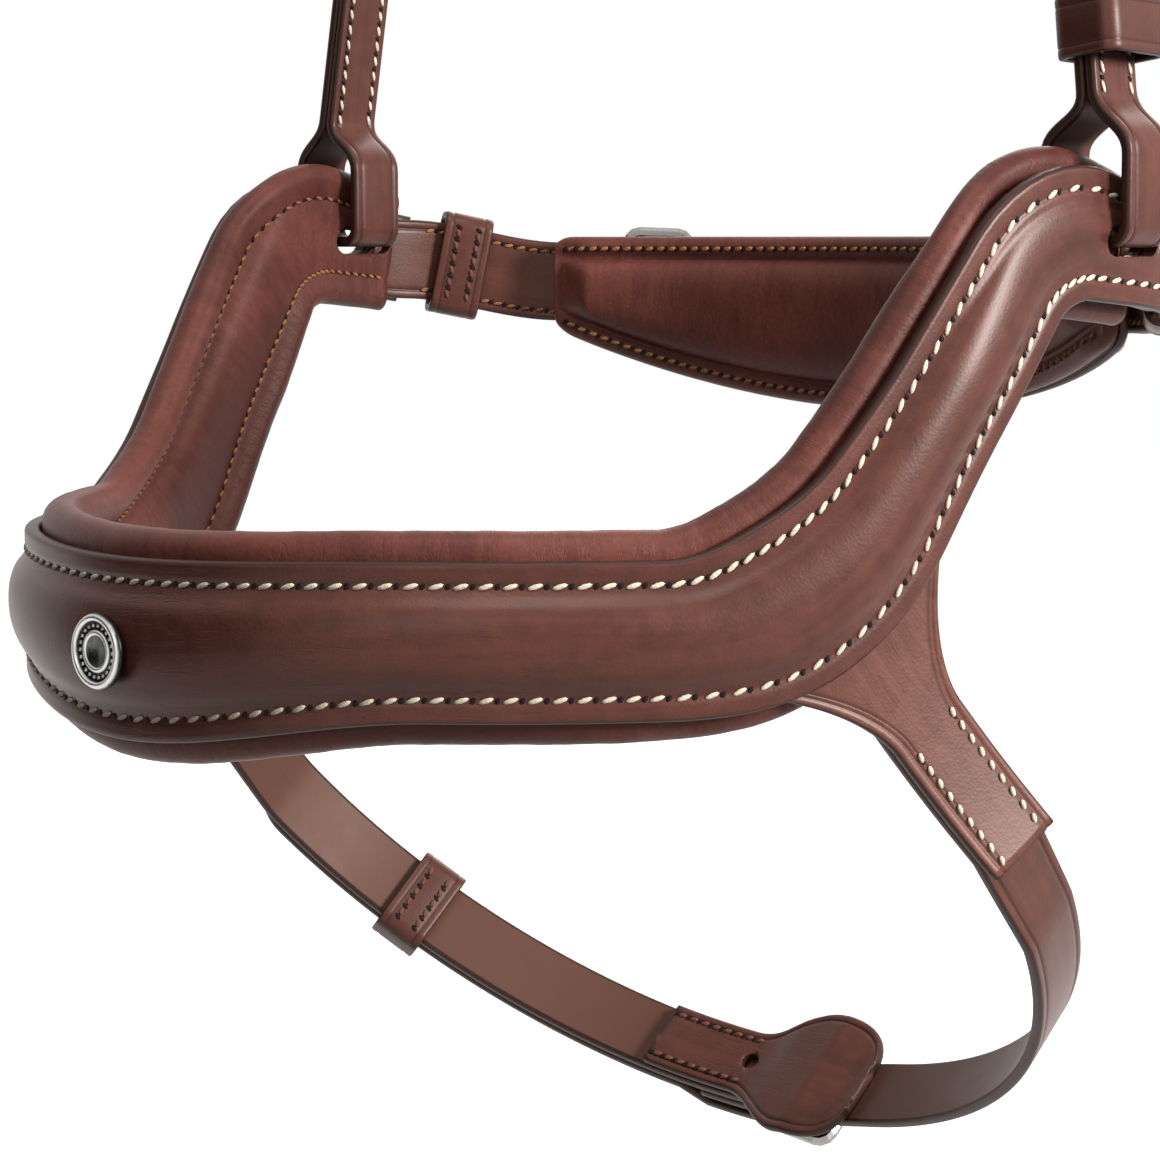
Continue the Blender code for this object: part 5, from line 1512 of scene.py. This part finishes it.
def legLine(topOut, bottom, startHeight):
    straight = band["widths"][5] / 2 + hanger["turn"]
    top, low = leanPoint(hanger["join"], topOut), (slotX + bottom, straight)
    lean, pull = math.radians(hanger["lean"]), (hanger["join"] - straight) * 0.5
    topPull, lowPull = (top[0] + pull * math.sin(lean), top[1] - pull), (low[0], low[1] + pull)
    bend = curvePoints(top, topPull, lowPull, low, 12)
    over = startHeight - hanger["join"]
    upper = [leanPoint(startHeight - over * k / 12, topOut) for k in range(12)] if over > 0 else []
    return upper + bend + [(low[0], hanger["turn"] * 1.6)]


def buildHead():
    thick, width, lean, step = hanger["thick"], hanger["width"], math.radians(hanger["lean"]), strapLook["step"]
    leaf, swell, bar, length = thick / 2 + buckle["gap"] / 2, bulge(thick), hanger["bar"], buckle["length"]
    join, archHeight = hanger["join"], hanger["arch"]
    far = legLine(-leaf, legInner, hanger["farLap"]) + slotTurn() + legLine(leaf, legOuter, join)[::-1]
    far += [leanPoint(join + (archHeight - join) * s, leaf) for s in np.linspace(0, 1, 40)[1:-1]]
    start, crest = leanPoint(archHeight, leaf), head["drop"] + thick / 2
    pull = (start[0] - hanger["archLift"] * math.sin(lean), start[1] + hanger["archLift"] * math.cos(lean))
    flat = hanger["flat"] / 2
    arch = curvePoints(start, pull, (flat + hanger["archReach"], crest), (flat, crest), 30)
    far = [(-x, height) for x, height in far + arch]
    under, overBar, overLap, _ = billetOuts(0, thick)
    apart = bar + length * 3
    heights = [(apart, under), (bar + length * buckle["dipEnd"], under)]
    heights += [(bar + length * buckle["dipStart"], under), (bar, overBar)]
    heights += [(bar - swell * buckle["lapRamp"], overLap), (hanger["tip"], overLap)]
    shares = np.linspace(0, 1, 30)[1:-1]
    spread = [(archHeight + (apart - archHeight) * s, leaf + (under - leaf) * s) for s in shares]
    nearLine = spread + smoothLine(heights, step)
    route = far + arch[::-1] + [leanPoint(height, out) for height, out in nearLine]
    piece = strap("headStrap", "head_strap", "head", headPlace, route, width, thick, pointed=(False, True))
    usedHole(piece, leanPlace, nearLine, bar, 1)
    for k in range(hanger["holes"]):
        plainHole(piece, leanPlace, nearLine, bar + length + hanger["holeStep"] * (k + 1))
    ramp = bar - swell * buckle["ramp"]
    up = smoothLine([(hanger["end"] + hanger["endGap"], -leaf), (ramp, -leaf), (bar, -swell)], step)[:-1]
    turn = [(bar - swell * math.cos(a), -swell * math.sin(a)) for a in np.radians(np.linspace(90, 270, 17))]
    down = smoothLine([(bar, swell), (ramp, leaf), (join, leaf)], step)[1:-1]
    loop = [leanPoint(height, out) for height, out in up + turn + down]
    loop += legLine(leaf, legOuter, join) + slotTurn()[::-1] + legLine(-leaf, legInner, hanger["end"])[::-1]
    piece = strap("nearHanger", "near_hanger", "head", headPlace, loop, width, thick)
    barSlot(piece, Bench(leanPlace, (bar, 0), 1))
    low, high = -leaf - thick / 2, overLap + thick / 2
    for name, node, body in (("Fixed", "fixed", "head"), ("Loose", "loose", "head_keeper")):
        bench = Bench(leanPlace, (hanger[node + "Keeper"], 0), 1)
        keeper("headKeeper" + name, "head_keeper_" + node, body, bench, width, low, high, False)
    hangerSeams(leaf)


def hangerSeams(leaf):
    thick, join, short = hanger["thick"], hanger["join"], hanger["seamEnd"]
    start, pitch = join - hanger["seamStart"], hanger["stitchPitch"]
    front, back = [(join, leaf), (hanger["farLap"], leaf)], [(join, -leaf), (hanger["bar"], -leaf)]

    def mirrored(height, across, out):
        return leanPlace(height, across, out) * np.array([-1, 1, 1])

    rows = (
        ("farLapSeamIn", mirrored, back, hanger["farLap"] - short, -1),
        ("farLapSeamOut", mirrored, front, hanger["farLap"] - short, 1),
        ("nearLapSeamIn", leanPlace, back, hanger["end"] - short, -1),
        ("nearLapSeamOut", leanPlace, front, hanger["tip"] - hanger["tipShort"], 1),
    )
    for label, sign in (("A", -1), ("B", 1)):
        inset = sign * (hanger["width"] / 2 - hanger["seamInset"])
        for name, place, line, end, side in rows:
            strapSeam(name + label, "head", place, line, inset, start, end, pitch, side, thick)


buildHead()
print("head strap made")

# Badge: a domed rivet with a rim, a ring and a row of dots
badge = {
    "radius": 6.8 * mm,
    "height": 2.4 * mm,
    "rim": 1.5 * mm,
    "recess": 0.75 * mm,
    "dots": 22,
    "dotSize": 0.4 * mm,
    "dotRing": 0.67,
    "steps": 64,
}
badgeTones = {"middle": 0.25, "hollow": 0.05, "proud": 0.9, "dots": 0.45}


def buildBadge():
    r, h, rim = badge["radius"], badge["height"], badge["rim"]
    floor = h - badge["recess"]
    profile = [(0, 0), (r * 0.8, 0), (r * 0.97, h * 0.3), (r, h * 0.5), (r * 0.985, h * 0.7)]
    profile += [(r - rim * 0.3, h * 0.96), (r - rim * 0.6, h), (r - rim * 0.9, h * 0.97)]
    profile += [(r - rim, floor + 0.1 * mm), (r - rim * 1.1, floor), (r * 0.56, floor)]
    profile += [(r * 0.53, floor + 0.35 * mm), (r * 0.47, floor + 0.42 * mm), (r * 0.43, floor + 0.3 * mm)]
    profile += [(r * 0.41, floor + 0.1 * mm), (0, floor + 0.22 * mm)]
    height = -band["noseDrop"] - band["noseDip"]
    base = Vector(ringPoint(0.0, height, band["thick"] + band["crown"] + lining["gap"]))
    shape = bmesh.new()
    verts = [shape.verts.new(base + Vector((radius, -forward, 0))) for radius, forward in profile]
    geometry = verts + [shape.edges.new(pair) for pair in zip(verts, verts[1:])]
    turn = {"angle": 2 * math.pi, "steps": badge["steps"], "use_merge": True}
    bmesh.ops.spin(shape, geom=geometry, cent=base, axis=(0, 1, 0), dvec=(0, 0, 0), **turn)
    bmesh.ops.remove_doubles(shape, verts=shape.verts, dist=mergeDistance)
    tones = shape.verts.layers.float.new("edge")
    for vert in shape.verts:
        reach, forward = math.hypot(vert.co.x - base.x, vert.co.z - base.z), base.y - vert.co.y
        place = "middle" if reach < r * 0.42 else "hollow" if forward < floor + 0.2 * mm else "proud"
        vert[tones] = badgeTones[place]
    for k in range(badge["dots"]):
        angle, ring = 2 * math.pi * k / badge["dots"], r * badge["dotRing"]
        spot = Matrix.Translation(base + Vector((math.cos(angle) * ring, -floor, math.sin(angle) * ring)))
        size = badge["dotSize"]
        dot = bmesh.ops.create_uvsphere(shape, u_segments=10, v_segments=6, radius=size, matrix=spot)
        for vert in dot["verts"]:
            vert[tones] = badgeTones["dots"]
    bmesh.ops.recalc_face_normals(shape, faces=shape.faces)
    addPiece("badgeCap", shape, "badge", "noseband", "badge_metal", "badge_cap")


buildBadge()

# Hardware and hidden layers stay as the frame has them, smoothed and painted
for node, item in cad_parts.items():
    metalPart = "buckle_frame" in node or "tongue" in node
    if metalPart or node in ("noseband_filler", "badge_post"):
        item.data.materials.clear()
        item.data.materials.append(looks["strap" if node == "noseband_filler" else "steel"])
    if metalPart:
        item.data.shade_smooth()
print("hardware painted")

# Camera at the photograph's angle
camera = {
    "place": (465.6 * mm, -517.76 * mm, -415.14 * mm),
    "azimuth": 44.71,
    "pitch": 5.73,
    "lens": 104.37,
}
data = bpy.data.cameras.new("camera")
data.lens, data.sensor_width, data.sensor_fit = camera["lens"], 36, "HORIZONTAL"
view = placed("camera", data)
az, pitch = math.radians(camera["azimuth"]), math.radians(camera["pitch"])
ahead = Vector((-math.sin(az) * math.cos(pitch), math.cos(az) * math.cos(pitch), -math.sin(pitch)))
view.location = camera["place"]
view.rotation_euler = ahead.to_track_quat("-Z", "Y").to_euler()
bpy.context.scene.camera = view

# Soft studio lamps round the noseband, the main one on its near side, in metres from its middle
lamps = {
    "key": {"at": (1.0, 0.22, 0.36), "size": 0.28, "power": 16},
    "top": {"at": (0.4, -0.3, 1.3), "size": 0.7, "power": 8},
    "front": {"at": (0.75, -1.3, 0.6), "size": 0.7, "power": 3},
    "back": {"at": (-0.6, 1.25, 0.7), "size": 0.9, "power": 8},
}
target = Vector((0, -0.06, -0.47))
for name, lamp in lamps.items():
    light = bpy.data.lights.new(name, "AREA")
    light.size, light.energy = lamp["size"], lamp["power"]
    holder = placed(name, light)
    holder.location = target + Vector(lamp["at"])
    holder.rotation_euler = (-Vector(lamp["at"])).to_track_quat("-Z", "Y").to_euler()


def shown(tree):
    # 1 for rays that show the background, seen straight, in metal or through glass
    rays = tree.nodes.new("ShaderNodeLightPath")
    kinds = ("Camera", "Glossy", "Transmission")
    seen, glossy, clear = (Wire(tree, rays.outputs["Is %s Ray" % kind]) for kind in kinds)
    return seen.maths("MAXIMUM", glossy).maths("MAXIMUM", clear)


def mixed(tree, share, first, second):
    join = tree.nodes.new("ShaderNodeMixShader")
    connect(tree, join.inputs[0], share)
    tree.links.new(first.outputs[0], join.inputs[1])
    tree.links.new(second.outputs[0], join.inputs[2])
    return join


def lit(tree, kind, colour, strength):
    made = tree.nodes.new(kind)
    made.inputs[0].default_value = colour
    connect(tree, made.inputs[1], strength)
    return made


# Beyond the object the floor glows to white, which only what shows the background sees
studio = {
    "fill": 0.06,
    "floorDrop": 200 * mm,
    "floorSize": 4.0,
    "floorPale": 0.85,
    "floorDim": 0.06,
    "glowFrom": 0.4,
    "glowTo": 1.4,
    "card": 0.9,
    "cardAt": (-0.9, -1.25, -0.1),
}
world = bpy.data.worlds.new("studio")
bpy.context.scene.world = world
world.use_nodes = True
tree = world.node_tree
tree.nodes.clear()
plain = lit(tree, "ShaderNodeBackground", (0.95, 0.96, 1.0, 1), studio["fill"])
white = lit(tree, "ShaderNodeBackground", (1, 1, 1, 1), 1.0)
end = tree.nodes.new("ShaderNodeOutputWorld")
tree.links.new(mixed(tree, shown(tree), plain, white).outputs[0], end.inputs[0])


def sheet(name, size, material):
    shape = bmesh.new()
    bmesh.ops.create_grid(shape, x_segments=1, y_segments=1, size=size)
    made = placed(name, meshOf(name, shape))
    made.data.materials.append(material)
    return made


dark = Paint("dark card")
dark.set(Base_Color=(0.01, 0.008, 0.007, 1), Roughness=1.0, Specular_IOR_Level=0.0)
card = sheet("darkCard", studio["card"], dark.material)  # shades the far front, as in the photograph
card.location = target + Vector(studio["cardAt"])
card.rotation_euler = Vector(studio["cardAt"]).to_track_quat("Z", "Y").to_euler()
card.visible_camera = False
paint = Paint("pale floor")
floor = sheet("floor", studio["floorSize"], paint.material)
floor.location = (0, 0, cadLow[2] - studio["floorDrop"])
tree = paint.tree
away = paint.node("ShaderNodeVectorMath", {"operation": "LENGTH"}, {0: paint.place()}, 1)
glow = paint.span(away, studio["glowFrom"], studio["glowTo"], 0.5, 1.0)
pale = tree.nodes.new("ShaderNodeAddShader")
plain = lit(tree, "ShaderNodeBsdfDiffuse", (studio["floorPale"],) * 3 + (1,), 1.0)
tree.links.new(plain.outputs[0], pale.inputs[0])
tree.links.new(lit(tree, "ShaderNodeEmission", (1, 1, 1, 1), glow).outputs[0], pale.inputs[1])
dim = lit(tree, "ShaderNodeBsdfDiffuse", (studio["floorDim"],) * 3 + (1,), 1.0)
tree.nodes.remove(paint.shader)
result = next(n for n in tree.nodes if n.type == "OUTPUT_MATERIAL")
tree.links.new(mixed(tree, shown(tree), dim, pale).outputs[0], result.inputs[0])

bpy.context.scene.view_settings.view_transform = "Standard"
print("scene done")
